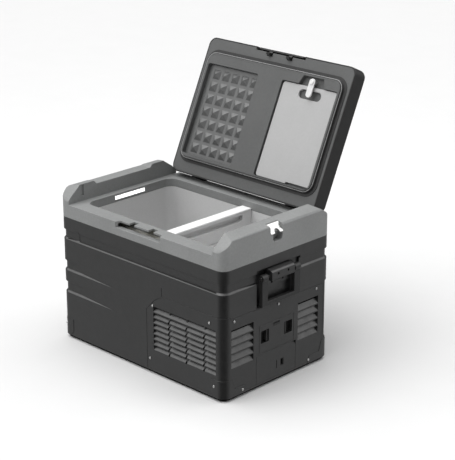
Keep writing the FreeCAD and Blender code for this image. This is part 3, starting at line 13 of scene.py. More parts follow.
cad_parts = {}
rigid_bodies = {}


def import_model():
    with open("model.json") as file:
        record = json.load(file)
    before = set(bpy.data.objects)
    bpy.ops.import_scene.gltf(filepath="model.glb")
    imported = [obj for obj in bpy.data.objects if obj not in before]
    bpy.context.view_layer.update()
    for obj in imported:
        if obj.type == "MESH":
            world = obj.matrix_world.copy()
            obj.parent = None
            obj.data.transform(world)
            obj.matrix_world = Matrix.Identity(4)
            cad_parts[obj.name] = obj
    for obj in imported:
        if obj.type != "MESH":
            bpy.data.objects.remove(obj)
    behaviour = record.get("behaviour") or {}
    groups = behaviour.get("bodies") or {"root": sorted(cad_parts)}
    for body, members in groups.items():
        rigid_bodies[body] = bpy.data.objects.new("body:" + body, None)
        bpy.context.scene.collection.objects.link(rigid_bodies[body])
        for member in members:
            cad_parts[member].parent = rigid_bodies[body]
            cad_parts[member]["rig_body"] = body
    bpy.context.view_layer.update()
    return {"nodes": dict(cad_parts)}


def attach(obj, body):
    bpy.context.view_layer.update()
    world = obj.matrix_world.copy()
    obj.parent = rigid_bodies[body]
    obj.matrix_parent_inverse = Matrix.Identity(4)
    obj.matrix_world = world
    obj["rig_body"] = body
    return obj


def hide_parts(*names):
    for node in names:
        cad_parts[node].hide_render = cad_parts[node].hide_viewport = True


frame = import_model()

MM = 0.001

# Details on the lid are drawn on the closed lid, then turned open about the hinge with it.
HINGE = Vector((0, 0.186, 0.3944))
LID_OPENING = math.radians(-114.8)
LID_TURN = Matrix.Translation(HINGE) @ Matrix.Rotation(LID_OPENING, 4, "X") @ Matrix.Translation(-HINGE)


# ---------------------------------------------------------------- materials

def add(tree, kind, settings=None, **sockets):
    """A shader node; a socket given another node's output is linked to it, any other value is set on it."""
    item = tree.nodes.new(kind)
    for key, value in (settings or {}).items():
        setattr(item, key, value)
    for key, value in sockets.items():
        socket = item.inputs[key.replace("_", " ")]
        if isinstance(value, bpy.types.NodeSocket):
            tree.links.new(value, socket)
        else:
            socket.default_value = value
    return item


def arithmetic(tree, operation, first, second):
    """A math node on two values, each a number or another node's output."""
    item = add(tree, "ShaderNodeMath", {"operation": operation})
    for socket, value in zip(item.inputs, (first, second)):
        if isinstance(value, bpy.types.NodeSocket):
            tree.links.new(value, socket)
        else:
            socket.default_value = value
    return item.outputs["Value"]


# A mix node's sockets share their names between kinds of data, so its colour sockets are found by number.
MIX_SHARE = 0
MIX_FIRST = 6
MIX_SECOND = 7
MIX_RESULT = 2


def blended(tree, share, first, second):
    """A colour that runs from the first to the second as share rises."""
    item = add(tree, "ShaderNodeMix", {"data_type": "RGBA"})
    tree.links.new(share, item.inputs[MIX_SHARE])
    item.inputs[MIX_FIRST].default_value = first
    item.inputs[MIX_SECOND].default_value = second
    return item.outputs[MIX_RESULT]


def roughen(tree, principled, height, strength, distance):
    """Bumps on a surface from a height value; distance is in metres."""
    bump = add(tree, "ShaderNodeBump", Height=height, Strength=strength, Distance=distance)
    tree.links.new(bump.outputs["Normal"], principled.inputs["Normal"])


def surface(name, **shader):
    """A new material with a principled shader, its node tree and the coordinates that stay with the
    piece."""
    item = bpy.data.materials.new(name)
    item.use_nodes = True
    tree = item.node_tree
    tree.nodes.clear()
    principled = add(tree, "ShaderNodeBsdfPrincipled", **shader)
    output = add(tree, "ShaderNodeOutputMaterial")
    tree.links.new(principled.outputs["BSDF"], output.inputs["Surface"])
    place = add(tree, "ShaderNodeTexCoord").outputs["Object"]
    return item, tree, principled, place


def shade(colour, factor):
    """A colour made lighter or darker by a factor."""
    return tuple(min(1.0, channel * factor) for channel in colour[:3]) + (1.0,)


def spread(tree, value, low, high):
    """Noise output turned into the range from low to high."""
    return add(tree, "ShaderNodeMapRange", From_Min=0.3, From_Max=0.7, To_Min=low, To_Max=high,
               Value=value).outputs["Result"]


def moulded(name, grey, roughness, grain=0.9, depth=0.12, uneven=0.10, tint=(1.0, 1.0, 1.0),
            specular=0.5):
    """Injection-moulded plastic: spark-eroded grain, faint flow shading and uneven gloss.
    grain is in millimetres."""
    colour = tuple(grey * channel for channel in tint)
    item, tree, principled, place = surface(name, Specular_IOR_Level=specular)
    flow = add(tree, "ShaderNodeTexNoise", Vector=place, Scale=7.0, Detail=3.0, Roughness=0.6).outputs["Fac"]
    mottle = add(tree, "ShaderNodeTexNoise", Vector=place, Scale=160.0, Detail=4.0,
                 Roughness=0.7).outputs["Fac"]
    both = arithmetic(tree, "ADD", flow, mottle)
    share = add(tree, "ShaderNodeMapRange", From_Min=0.7, From_Max=1.3, Value=both).outputs["Result"]
    mixed = blended(tree, share, shade(colour, 1 - uneven), shade(colour, 1 + uneven))
    tree.links.new(mixed, principled.inputs["Base Color"])
    gloss = add(tree, "ShaderNodeTexNoise", Vector=place, Scale=55.0, Detail=2.0).outputs["Fac"]
    tree.links.new(spread(tree, gloss, roughness - 0.05, roughness + 0.05), principled.inputs["Roughness"])
    pits = add(tree, "ShaderNodeTexNoise", Vector=place, Scale=1000 / grain, Detail=2.0, Roughness=0.6)
    roughen(tree, principled, pits.outputs["Fac"], depth, 0.4 * MM)
    return item


def metal(name, colour, roughness, streaks=(1.0, 40.0, 40.0), uneven=0.12):
    """Plated or drawn metal with fine streaks along one axis."""
    item, tree, principled, place = surface(name, Metallic=1.0)
    stretched = add(tree, "ShaderNodeMapping", Vector=place, Scale=streaks).outputs["Vector"]
    lines = add(tree, "ShaderNodeTexNoise", Vector=stretched, Scale=60.0, Detail=4.0,
                Roughness=0.7).outputs["Fac"]
    mixed = blended(tree, lines, shade(colour, 1 - uneven), shade(colour, 1 + uneven))
    tree.links.new(mixed, principled.inputs["Base Color"])
    tree.links.new(spread(tree, lines, roughness - 0.06, roughness + 0.06), principled.inputs["Roughness"])
    roughen(tree, principled, lines, 0.06, 0.2 * MM)
    return item


def foamed(name, colour):
    """Cut polyurethane foam: small open cells."""
    item, tree, principled, place = surface(name, Roughness=0.9)
    cells = add(tree, "ShaderNodeTexVoronoi", Vector=place, Scale=500.0).outputs["Distance"]
    mixed = blended(tree, cells, shade(colour, 0.75), shade(colour, 1.1))
    tree.links.new(mixed, principled.inputs["Base Color"])
    roughen(tree, principled, cells, 0.5, 0.6 * MM)
    return item


def glowing(name, colour, strength):
    """A diffuser over a row of lamps: brightest over each lamp."""
    item, tree, principled, place = surface(name, Base_Color=(0.9, 0.9, 0.88, 1), Roughness=0.35)
    wave = add(tree, "ShaderNodeTexWave", {"bands_direction": "Y"}, Vector=place, Scale=22.0, Detail=1.0)
    level = spread(tree, wave.outputs["Fac"], strength * 0.85, strength)
    principled.inputs["Emission Color"].default_value = colour + (1.0,)
    tree.links.new(level, principled.inputs["Emission Strength"])
    return item


def circuit(name):
    """A green circuit board: solder mask over fine tracks."""
    item, tree, principled, place = surface(name, Roughness=0.35)
    tracks = add(tree, "ShaderNodeTexBrick", Vector=place, Scale=260.0, Color1=(0.01, 0.10, 0.035, 1),
                 Color2=(0.01, 0.075, 0.03, 1), Mortar=(0.03, 0.2, 0.07, 1), Mortar_Size=0.03)
    tree.links.new(tracks.outputs["Color"], principled.inputs["Base Color"])
    roughen(tree, principled, tracks.outputs["Fac"], 0.3, 0.2 * MM)
    return item


def smoked(name):
    """The dark display window: glossy, with a clear coat."""
    item, tree, principled, place = surface(name, Roughness=0.08, Coat_Weight=1.0, Coat_Roughness=0.03)
    haze = add(tree, "ShaderNodeTexNoise", Vector=place, Scale=30.0, Detail=3.0).outputs["Fac"]
    mixed = blended(tree, haze, (0.006, 0.007, 0.009, 1), (0.011, 0.012, 0.015, 1))
    tree.links.new(mixed, principled.inputs["Base Color"])
    return item


FINISHES = {
    "charcoal_shell": moulded("charcoal_shell", 0.014, 0.38, specular=1.0, tint=(0.98, 1.0, 1.01)),
    "guard_plastic": moulded("guard_plastic", 0.014, 0.38, specular=1.0, tint=(0.98, 1.0, 1.0)),
    "frame_grey": moulded("frame_grey", 0.24, 0.5, tint=(0.98, 1.0, 0.995)),
    "liner_grey": moulded("liner_grey", 0.62, 0.45, grain=1.4, depth=0.05, uneven=0.04),
    "white_trim": moulded("white_trim", 0.86, 0.35, grain=1.2, depth=0.05, uneven=0.03),
    "light": glowing("light", (1.0, 1.0, 1.0), 2.2),
    "black_plastic": moulded("black_plastic", 0.024, 0.4),
    "rubber": moulded("rubber", 0.03, 0.62, grain=0.5, depth=0.2),
    "foam": foamed("foam", (0.75, 0.68, 0.45)),
    "steel": metal("steel", (0.75, 0.75, 0.74), 0.28),
    "compressor_paint": moulded("compressor_paint", 0.02, 0.3, grain=2.0, depth=0.1),
    "copper": metal("copper", (0.8, 0.4, 0.25), 0.3),
    "aluminium": metal("aluminium", (0.8, 0.81, 0.82), 0.35),
    "board_green": circuit("board_green"),
    "lid_grey": moulded("lid_grey", 0.095, 0.48, tint=(0.98, 1.0, 0.995)),
    "lid_shell": moulded("lid_shell", 0.014, 0.45),
    "cushion": moulded("cushion", 0.10, 0.36, specular=0.9, tint=(0.98, 1.0, 0.995)),
    "cutting_board": moulded("cutting_board", 0.42, 0.5, grain=1.8, depth=0.2, uneven=0.04),
    "clip_white": moulded("clip_white", 0.7, 0.35, depth=0.05, uneven=0.03),
    "display": smoked("display"),
}


# ---------------------------------------------------------------- rounded copies of the CAD nodes

FLAT_ANGLE = math.radians(0.4)      # faces that turn less than this lie in one flat patch
FLAT = math.cos(FLAT_ANGLE)
SHARP_ANGLE = math.radians(30.0)    # edges that turn more than this are rounded
SMOOTH_ANGLE = math.radians(50.0)   # shading runs on between faces that turn less than this
STRAIGHT_ON = -0.85                 # cosine between two edges that carry on into each other
ROOM_SHARE = 0.42                   # how much of the shortest edge nearby a rounding may take
LEAST_SHARE = 0.12                  # below this share of its radius a rounding is left out
TIGHT_REACH = 3                     # radii round a tight spot within which roundings are halved
SEGMENTS = 2                        # rows of faces across a rounding
ROUNDING_TRIES = 5
WELD = 2e-6                         # metres; vertices of a CAD mesh closer than this are one
REFILL_WELD = 1e-6                  # the same for a rounded mesh
REFILL_PRECISION = 1e-8             # metres

def edge_room(vertex, sharp):
    """The shortest edge at a vertex, apart from two sharp ones that carry straight on into each other."""
    mine = [edge for edge in vertex.link_edges if edge in sharp]
    lengths = []
    for edge in vertex.link_edges:
        if edge in sharp and len(mine) == 2:
            along = (edge.other_vert(vertex).co - vertex.co).normalized()
            other = mine[0] if mine[1] is edge else mine[1]
            if along.dot((other.other_vert(vertex).co - vertex.co).normalized()) < STRAIGHT_ON:
                continue
        lengths.append(edge.calc_length())
    return min(lengths, default=1.0)


def number_patches(bm, patch):
    """Gives the faces of each flat patch the same number."""
    count = 0
    for seed in bm.faces:
        if seed[patch]:
            continue
        count += 1
        seed[patch] = count
        waiting = [seed]
        while waiting:
            for edge in waiting.pop().edges:
                for face in edge.link_faces:
                    if not face[patch] and face.normal.dot(seed.normal) > FLAT:
                        face[patch] = count
                        waiting.append(face)


def near(edge, spot, reach):
    """True if a spot is within reach of an edge."""
    start, end = (vertex.co for vertex in edge.verts)
    nearest, share = intersect_point_line(spot, start, end)
    return (start.lerp(end, min(1.0, max(0.0, share))) - spot).length < reach


def marked_copy(node, radius, tight_spots):
    """A copy of a CAD node's mesh, its flat patches numbered and its sharp edges given a rounding
    where there is room."""
    bm = bmesh.new()
    bm.from_mesh(frame["nodes"][node].data)
    bmesh.ops.remove_doubles(bm, verts=bm.verts, dist=WELD)
    bmesh.ops.dissolve_limit(bm, angle_limit=FLAT_ANGLE, verts=bm.verts, edges=bm.edges)
    patch = bm.faces.layers.int.new("patch")
    weight = bm.edges.layers.float.new("bevel_weight_edge")
    number_patches(bm, patch)
    sharp = {edge for edge in bm.edges
             if len(edge.link_faces) == 2 and edge.calc_face_angle(0.0) > SHARP_ANGLE}
    room = {vertex: edge_room(vertex, sharp) for vertex in {v for edge in sharp for v in edge.verts}}
    for edge in sharp:
        share = min(1.0, ROOM_SHARE * min(room[vertex] for vertex in edge.verts) / radius)
        share *= 0.5 ** sum(near(edge, spot, TIGHT_REACH * radius) for spot in tight_spots)
        edge[weight] = 0.0 if share < LEAST_SHARE else share
    mesh = bpy.data.meshes.new(node)
    bm.to_mesh(mesh)
    bm.free()
    for stale in ("custom_normal", "sharp_edge", "sharp_face"):
        if stale in mesh.attributes:
            mesh.attributes.remove(mesh.attributes[stale])
    return mesh


def crossings(point, rim):
    """How many rim edges a ray from the point crosses, in the flat patch's own plane."""
    count = 0
    for start, end in rim:
        if (start.y > point.y) != (end.y > point.y):
            if point.x < start.x + (point.y - start.y) * (end.x - start.x) / (end.y - start.y):
                count += 1
    return count


def refill_patch(bm, faces, patch):
    """Fills one flat patch again from its rim, because rounding can leave its faces folded over each other.
    Returns the spots where the rim crosses itself, if it does."""
    inside = set(faces)
    rim = [edge for edge in {e for face in faces for e in face.edges}
           if sum(face in inside for face in edge.link_faces) == 1]
    corners = sorted({vertex for edge in rim for vertex in edge.verts}, key=lambda vertex: vertex.index)
    normal = sum((face.normal * face.calc_area() for face in faces), Vector()).normalized()
    across = normal.orthogonal().normalized()
    up = normal.cross(across)
    flat = [Vector((vertex.co.dot(across), vertex.co.dot(up))) for vertex in corners]
    place = {vertex: index for index, vertex in enumerate(corners)}
    pairs = [tuple(place[vertex] for vertex in edge.verts) for edge in rim]
    made = delaunay_2d_cdt(flat, pairs, [], 0, REFILL_PRECISION)
    depth = corners[0].co.dot(normal)
    crossed = []
    filled = []
    for spot, sources in zip(made[0], made[3]):
        if sources:
            filled.append(corners[sources[0]])
        else:
            crossed.append(across * spot.x + up * spot.y + normal * depth)
            filled.append(bm.verts.new(crossed[-1]))
    lines = [(flat[start], flat[end]) for start, end in pairs]
    number = faces[0][patch]
    kept = []
    for triangle in made[2]:
        centre = sum((made[0][index] for index in triangle), Vector((0, 0))) / 3
        if crossings(centre, lines) % 2:
            kept.append([filled[index] for index in triangle])
    bmesh.ops.delete(bm, geom=faces, context="FACES_ONLY")
    for first, second, third in kept:
        if (second.co - first.co).cross(third.co - first.co).dot(normal) < 0:
            second, third = third, second
        bm.faces.new((first, second, third))[patch] = number
    return crossed


def refill(bm, patch):
    """Fills every flat patch again; returns the spots where a rim crosses itself."""
    bmesh.ops.remove_doubles(bm, verts=bm.verts, dist=REFILL_WELD)
    bm.verts.index_update()
    crossed = []
    patches = {}
    for face in bm.faces:
        if face.material_index == 0:
            patches.setdefault(face[patch], []).append(face)
    for faces in patches.values():
        if len(faces) > 1 or len(faces[0].verts) > 4:
            crossed += refill_patch(bm, faces, patch)
    bmesh.ops.delete(bm, geom=[edge for edge in bm.edges if not edge.link_faces], context="EDGES")
    bmesh.ops.delete(bm, geom=[vertex for vertex in bm.verts if not vertex.link_faces], context="VERTS")
    bm.normal_update()
    return crossed


def smooth_fans(vertex, limit):
    """The faces round a vertex, in groups that meet at less than the limit angle."""
    left = set(vertex.link_faces)
    while left:
        fan = [left.pop()]
        for face in fan:
            for edge in face.edges:
                if vertex in edge.verts and edge.calc_face_angle(math.pi) < limit:
                    for other in edge.link_faces:
                        if other in left:
                            left.remove(other)
                            fan.append(other)
        yield fan


def corner_normals(bm, patch, limit):
    """Normals that lie flat on large patches and turn across the roundings between them."""
    areas = {}
    for face in bm.faces:
        if face.material_index == 0:
            areas[face[patch]] = areas.get(face[patch], 0.0) + face.calc_area()
    bm.faces.index_update()
    found = {}
    for vertex in bm.verts:
        for fan in smooth_fans(vertex, limit):
            parts = {(face[patch] if face.material_index == 0 else -face.index - 1): face for face in fan}
            total = sum((face.normal * (areas[key] if key > 0 else face.calc_area())
                         for key, face in parts.items()), Vector())
            for face in fan:
                found[face.index, vertex.index] = total.normalized()
    return [found[face.index, loop.vert.index] for face in bm.faces for loop in face.loops]


def bevelled(mesh, radius):
    """The mesh with its marked edges rounded; the new faces have material index 1."""
    item = bpy.data.objects.new("bevel_work", mesh)
    bpy.context.scene.collection.objects.link(item)
    mesh.materials.append(None)
    mesh.materials.append(None)
    bevel = item.modifiers.new("rounding", "BEVEL")
    bevel.limit_method = "WEIGHT"
    bevel.width = radius
    bevel.segments = SEGMENTS
    bevel.use_clamp_overlap = False
    bevel.loop_slide = False
    bevel.material = 1
    graph = bpy.context.evaluated_depsgraph_get()
    made = bpy.data.meshes.new_from_object(item.evaluated_get(graph))
    bpy.data.objects.remove(item)
    return made


def rounded_mesh(node, radius):
    """A CAD node's mesh with rounded edges, even flat patches and shading that turns only across the
    roundings. Where roundings run into each other, it is made again with smaller ones there."""
    tight_spots = []
    for attempt in range(ROUNDING_TRIES):
        mesh = bevelled(marked_copy(node, radius, tight_spots), radius)
        bm = bmesh.new()
        bm.from_mesh(mesh)
        patch = bm.faces.layers.int["patch"]
        crossed = refill(bm, patch)
        if not crossed:
            break
        tight_spots += crossed
    bm.verts.index_update()
    normals = corner_normals(bm, patch, SMOOTH_ANGLE)
    for face in bm.faces:
        face.material_index = 0
        face.smooth = True
    bm.to_mesh(mesh)
    bm.free()
    mesh.normals_split_custom_set(normals)
    return mesh


def piece(name, mesh, body, slot, replaced=(), finish=None):
    """Adds a mesh to the scene as a piece that rides on a body."""
    item = bpy.data.objects.new(name, mesh)
    bpy.context.scene.collection.objects.link(item)
    mesh.materials.clear()
    mesh.materials.append(finish or FINISHES[slot])
    if replaced:
        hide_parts(*replaced)
    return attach(item, body)


def rounded(node, radius_mm):
    """The rounded stand-in for one CAD node."""
    source = frame["nodes"][node]
    slot = source.data.materials[0].name
    mesh = rounded_mesh(node, radius_mm * MM)
    piece(node + "_moulding", mesh, source["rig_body"], slot, (node,))


ROUNDING_MM = {
    "outer_shell": 0.8, "vent_cover": 0.5, "port_panel": 0.5, "corner_guards": 0.6, "top_frame": 1.2,
    "liner": 1.0, "divider_panel": 0.8, "divider_cap": 0.8, "light_housing": 0.4, "lid_outer": 1.0,
    "lid_inner": 0.9, "lid_gasket": 0.6, "cushion_tray": 0.6, "cutting_board": 1.0, "latch_lever": 0.8,
    "handle_bail_left": 1.2, "handle_bail_right": 1.2,
    "handle_bracket_left": 0.9, "handle_bracket_right": 0.9,
    "battery_pack": 0.6, "battery_tab": 0.3, "board_clip": 0.8, "lid_hinge_cheeks": 0.8, "hinge_lugs": 0.8,
    "panel_frame": 0.8, "rubber_feet": 0.8, "base_pan": 0.5, "power_socket": 0.4, "fan_housing": 0.6,
    "battery_latch_left": 0.5, "battery_latch_right": 0.5, "fan_rotor": 0.3, "handle_pin_left": 0.6,
    "handle_pin_right": 0.6, "clip_stud": 0.5, "bottle_opener": 0.25,
}

for node_name, radius in ROUNDING_MM.items():
    rounded(node_name, radius)


# ---------------------------------------------------------------- details that only the finished model has

# Plan sizes in millimetres: the lid's inner plateau, and the chest's own outline.
PLATEAU_HALF_LENGTH = 235
PLATEAU_FRONT = -143
PLATEAU_BACK = 148
PLATEAU_CORNER = 24
BODY_HALF_LENGTH = 300
BODY_HALF_WIDTH = 193
BODY_CORNER = 24


def ring_path(half_x, front, back, radius, steps=10):
    """Points of a level rounded rectangle, in metres."""
    points = []
    quarters = (((half_x - radius, back - radius), 0),
                ((-half_x + radius, back - radius), 90),
                ((-half_x + radius, front + radius), 180),
                ((half_x - radius, front + radius), 270))
    for centre, start in quarters:
        for step in range(steps + 1):
            angle = math.radians(start + 90 * step / steps)
            points.append(Vector((centre[0] + radius * math.cos(angle),
                                  centre[1] + radius * math.sin(angle), 0)))
    return points


def bead_mesh(name, points, radius, height, sides=8):
    """A closed bead of round section along level points at a height."""
    bm = bmesh.new()
    count = len(points)
    rings = []
    for index, point in enumerate(points):
        along = (points[(index + 1) % count] - points[index - 1]).normalized()
        side = Vector((along.y, -along.x, 0))
        rings.append([bm.verts.new(point + Vector((0, 0, height)) + side * radius * math.cos(turn)
                                   + Vector((0, 0, radius * math.sin(turn))))
                      for turn in (2 * math.pi * k / sides for k in range(sides))])
    for index, ring in enumerate(rings):
        following = rings[(index + 1) % count]
        for k in range(sides):
            beyond = (k + 1) % sides
            bm.faces.new((ring[k], ring[beyond], following[beyond], following[k])).smooth = True
    bmesh.ops.recalc_face_normals(bm, faces=bm.faces)
    mesh = bpy.data.meshes.new(name)
    bm.to_mesh(mesh)
    bm.free()
    return mesh


def lid_beads():
    """The gasket's two lips and the raised outline on the lid's plateau. The lips are coloured a light grey
    as painted highlight lines along the gasket. Each has its distance outside the plateau's edge, its radius
    and its height, in millimetres."""
    # The lips' light grey is a painted highlight along the gasket, not the gasket's own colour.
    painted_highlight_lip = moulded("gasket_lip_painted_highlight", 0.30, 0.3, depth=0.05, specular=1.0)
    for name, grow, radius, height, finish in (
            ("gasket_outer_lip", 11.6, 0.9, 379.1, painted_highlight_lip), ("gasket_inner_lip", 2.6, 1.0, 371.3, painted_highlight_lip),
            ("plateau_outline", -3.2, 0.5, 368.1, FINISHES["lid_grey"])):
        path = ring_path((PLATEAU_HALF_LENGTH + grow) * MM, (PLATEAU_FRONT - grow) * MM,
                         (PLATEAU_BACK + grow) * MM, (PLATEAU_CORNER + grow) * MM)
        mesh = bead_mesh(name, path, radius * MM, height * MM)
        mesh.transform(LID_TURN)
        piece(name, mesh, "lid", "rubber" if finish is painted_highlight_lip else "lid_grey", finish=finish)


def islands(mesh):
    """The separate parts of a mesh, each as its lowest and highest corner."""
    bm = bmesh.new()
    bm.from_mesh(mesh)
    bmesh.ops.remove_doubles(bm, verts=bm.verts, dist=WELD)
    left = set(bm.verts)
    found = []
    for vertex in bm.verts:
        if vertex not in left:
            continue
        left.discard(vertex)
        group = [vertex]
        for member in group:
            for edge in member.link_edges:
                other = edge.other_vert(member)
                if other in left:
                    left.discard(other)
                    group.append(other)
        found.append(tuple(Vector([pick(member.co[axis] for member in group) for axis in range(3)])
                           for pick in (min, max)))
    bm.free()
    return found


def lobed_screw(bm, head, outward, radius, rise, lobes=6, sides=48):
    """A pan-head screw with a lobed socket; head is the centre of the head's seat. The outline gives
    shares of the radius, shares of the rise, and how far the lobes reach."""
    across = outward.orthogonal().normalized()
    up = outward.cross(across)
    outline = [(1.0, 0.0, 0.0), (1.0, 0.25, 0.0), (0.93, 0.62, 0.0), (0.78, 0.87, 0.0), (0.56, 1.0, 0.0),
               (0.46, 1.0, 0.10), (0.44, 0.45, 0.10)]
    rings = []
    for reach, level, wave in outline:
        ring = []
        for side in range(sides):
            turn = 2 * math.pi * side / sides
            distance = radius * (reach + wave * math.cos(lobes * turn))
            direction = across * math.cos(turn) + up * math.sin(turn)
            ring.append(bm.verts.new(head + outward * rise * level + direction * distance))
        rings.append(ring)
    for lower, upper in zip(rings, rings[1:]):
        for side in range(sides):
            following = (side + 1) % sides
            bm.faces.new((lower[side], lower[following], upper[following], upper[side])).smooth = True
    bm.faces.new(rings[-1])
    bm.faces.new(list(reversed(rings[0])))


def case_screws():
    """Screw heads with sockets, one for each plain CAD screw, which lies along its longest side."""
    rise = 1.2 * MM
    bm = bmesh.new()
    node = frame["nodes"]["case_screws"]
    for low, high in islands(node.data):
        size = high - low
        axis = max((0, 1), key=lambda number: size[number])
        outward = Vector((0, 0, 0))
        outward[axis] = 1.0 if low[axis] + high[axis] > 0 else -1.0
        centre = (low + high) / 2
        top = high[axis] if outward[axis] > 0 else low[axis]
        radius = min(size[number] for number in range(3) if number != axis) / 2
        centre[axis] = top - outward[axis] * rise
        lobed_screw(bm, centre, outward, radius, rise)
    bmesh.ops.recalc_face_normals(bm, faces=bm.faces)
    mesh = bpy.data.meshes.new("case_screw_heads")
    bm.to_mesh(mesh)
    bm.free()
    piece("case_screw_heads", mesh, node["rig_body"], "steel", ("case_screws",))


def plate_outline(half_x, half_y, radius):
    """Points of a rounded rectangle round the chest's own middle."""
    return ring_path(half_x, -half_y, half_y, radius, steps=8)


def wall_mesh(name, outer, inner, low, high):
    """An upright wall between two closed outlines with the same number of points. Its outer side stops
    a little short of the top and the bottom, so that both edges slope."""
    bm = bmesh.new()
    soft = 0.8 * MM
    levels = ((outer, low + soft), (outer, high - soft), (inner, high), (inner, low))
    rings = [[bm.verts.new(point + Vector((0, 0, level))) for point in path] for path, level in levels]
    for index, ring in enumerate(rings):
        other = rings[(index + 1) % len(rings)]
        for k in range(len(ring)):
            following = (k + 1) % len(ring)
            bm.faces.new((ring[k], ring[following], other[following], other[k]))
    bmesh.ops.recalc_face_normals(bm, faces=bm.faces)
    mesh = bpy.data.meshes.new(name)
    bm.to_mesh(mesh)
    bm.free()
    return mesh


def shadow_gap_skirt():
    """A near-black band round the feet, just clear of the ground, put in the gap under the body as painted
    shade.
    """
    inset = 5 * MM
    wall = 4 * MM
    low = 2 * MM
    high = 9.4 * MM
    half_x = BODY_HALF_LENGTH * MM - inset
    half_y = BODY_HALF_WIDTH * MM - inset
    radius = BODY_CORNER * MM - inset
    outer = plate_outline(half_x, half_y, radius)
    inner = plate_outline(half_x - wall, half_y - wall, radius - wall)
    mesh = wall_mesh("shadow_gap_skirt", outer, inner, low, high)
    # Near black and barely reflective: painted shade standing in for the shadow gap under the body.
    piece("shadow_gap_skirt", mesh, "chest", "rubber", finish=moulded("skirt_painted_shade", 0.004, 0.8, specular=0.05))


def ribbed_floor(name, low, high, ribs, rise):
    """A thin floor with raised ribs across it, between two corners."""
    gap_share = 0.35
    rib_share = 0.3
    broken_edge = 0.25 * MM
    bm = bmesh.new()
    spans = [(low, high)]
    pitch = (high.x - low.x) / ribs
    for index in range(ribs):
        left = low.x + (index + gap_share) * pitch
        right = left + rib_share * pitch
        spans.append((Vector((left, low.y, high.z)), Vector((right, high.y, high.z + rise))))
    for start, end in spans:
        made = bmesh.ops.create_cube(bm, size=1.0)["verts"]
        bmesh.ops.scale(bm, vec=end - start, verts=made)
        bmesh.ops.translate(bm, vec=(start + end) / 2, verts=made)
    bmesh.ops.bevel(bm, geom=list(bm.edges), offset=broken_edge, segments=1, affect="EDGES")
    mesh = bpy.data.meshes.new(name)
    bm.to_mesh(mesh)
    bm.free()
    return mesh


def recess_floor():
    """The ribbed floor of the finger recess under the latch."""
    low = Vector((-0.079, -0.1915, 0.3610))
    high = Vector((0.079, -0.1782, 0.3622))
    mesh = ribbed_floor("finger_recess_floor", low, high, ribs=24, rise=0.6 * MM)
    piece("finger_recess_floor", mesh, "chest", "frame_grey")


lid_beads()
case_screws()
shadow_gap_skirt()
recess_floor()

# The CAD nodes that nothing replaces get their finishes here.
for source in frame["nodes"].values():
    if not source.hide_render:
        slot_name = source.data.materials[0].name
        for index in range(len(source.data.materials)):
            source.data.materials[index] = FINISHES[slot_name.split(".")[0]]


# ---------------------------------------------------------------- stage, light and camera

# Each soft light in the dome has its direction, its power and how narrow it is.
LOBES = (((-0.30, -0.40, 1.0), 3.4, 4.0), ((0.48, 0.64, 0.60), 1.9, 9.0))
DOME_FILL = 0.08
FLOOR_GLOW = 0.42
FLOOR_GAP = 0.02
FLOOR_SIZE = 60
NEAR_CORNER = (0.70, -0.71, 0.0)


def stage_floor():
    """The plain pale floor. It is left out of reflections, which see the studio's own floor instead."""
    bpy.ops.mesh.primitive_plane_add(size=FLOOR_SIZE, location=(0, 0, 0))
    floor = bpy.context.object
    floor.name = "floor"
    paper = moulded("floor_paper", 0.74, 0.8, grain=3.0, depth=0.02, uneven=0.01, specular=0.1)
    floor.data.materials.append(paper)
    floor.visible_glossy = False


def area_light(name, place, target, size, power):
    """A rectangular lamp that points at a target; its power is in watts."""
    lamp = bpy.data.lights.new(name, "AREA")
    lamp.shape = "RECTANGLE"
    lamp.size, lamp.size_y = size
    lamp.energy = power
    item = bpy.data.objects.new(name, lamp)
    item.location = place
    item.rotation_mode = "QUATERNION"
    item.rotation_quaternion = (Vector(target) - Vector(place)).to_track_quat("-Z", "Y")
    bpy.context.scene.collection.objects.link(item)


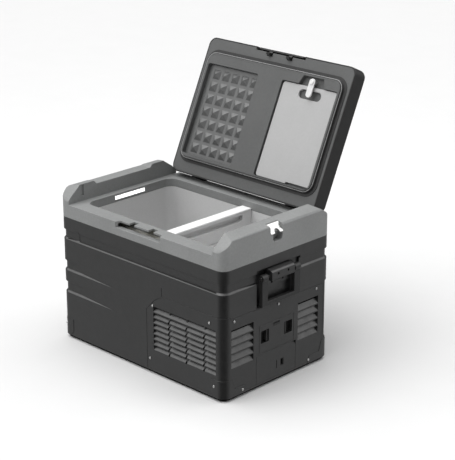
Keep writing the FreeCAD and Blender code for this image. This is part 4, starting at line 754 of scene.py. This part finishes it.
def studio():
    """A white sweep behind the object and a soft light dome, brightest overhead. Reflections that point
    down see a bright studio floor on both sides and a dark gap towards the near corner."""
    world = bpy.data.worlds.new("studio")
    bpy.context.scene.world = world
    world.use_nodes = True
    tree = world.node_tree
    tree.nodes.clear()
    way = add(tree, "ShaderNodeTexCoord").outputs["Generated"]

    def facing(direction):
        """How far a ray runs along a direction, from -1 to 1."""
        dot = add(tree, "ShaderNodeVectorMath", {"operation": "DOT_PRODUCT"})
        tree.links.new(way, dot.inputs[0])
        dot.inputs[1].default_value = Vector(direction).normalized()
        return dot.outputs["Value"]

    dome = DOME_FILL
    for direction, power, sharpness in LOBES:
        lobe = arithmetic(tree, "POWER", arithmetic(tree, "MAXIMUM", facing(direction), 0.0), sharpness)
        dome = arithmetic(tree, "ADD", arithmetic(tree, "MULTIPLY", lobe, power), dome)
    smooth = {"interpolation_type": "SMOOTHSTEP"}
    below = add(tree, "ShaderNodeMapRange", smooth, From_Min=0.25, From_Max=0.85, To_Min=FLOOR_GLOW,
                To_Max=FLOOR_GAP, Value=facing(NEAR_CORNER)).outputs["Result"]
    share = add(tree, "ShaderNodeMapRange", smooth, From_Min=-0.1, From_Max=0.05,
                Value=facing((0, 0, 1))).outputs["Result"]
    rest = arithmetic(tree, "SUBTRACT", 1.0, share)
    level = arithmetic(tree, "ADD", arithmetic(tree, "MULTIPLY", share, dome),
                       arithmetic(tree, "MULTIPLY", rest, below))
    room = add(tree, "ShaderNodeBackground", Color=(1, 1, 1, 1), Strength=level)
    sweep = add(tree, "ShaderNodeBackground", Color=(1, 1, 1, 1), Strength=1.0)
    seen = add(tree, "ShaderNodeLightPath").outputs["Is Camera Ray"]
    mix = add(tree, "ShaderNodeMixShader")
    tree.links.new(seen, mix.inputs[0])
    tree.links.new(room.outputs["Background"], mix.inputs[1])
    tree.links.new(sweep.outputs["Background"], mix.inputs[2])
    output = add(tree, "ShaderNodeOutputWorld")
    tree.links.new(mix.outputs["Shader"], output.inputs["Surface"])


def camera():
    """The camera, in front of the chest, to its right and above it."""
    eye = Vector((2.6147, -2.5459, 1.6415))
    azimuth, elevation = math.radians(44.37), math.radians(19.83)
    back = Vector((math.sin(azimuth) * math.cos(elevation), -math.cos(azimuth) * math.cos(elevation),
                   math.sin(elevation)))
    data = bpy.data.cameras.new("camera")
    data.lens = 118.1
    data.sensor_width = 36.0
    item = bpy.data.objects.new("camera", data)
    item.location = eye
    item.rotation_mode = "QUATERNION"
    item.rotation_quaternion = (-back).to_track_quat("-Z", "Y")
    bpy.context.scene.collection.objects.link(item)
    bpy.context.scene.camera = item


stage_floor()
studio()
area_light("overhead", (-0.5, 0.4, 2.6), (0, 0, 0.3), (1.4, 1.4), 12)
camera()
bpy.context.scene.view_settings.view_transform = "Standard"
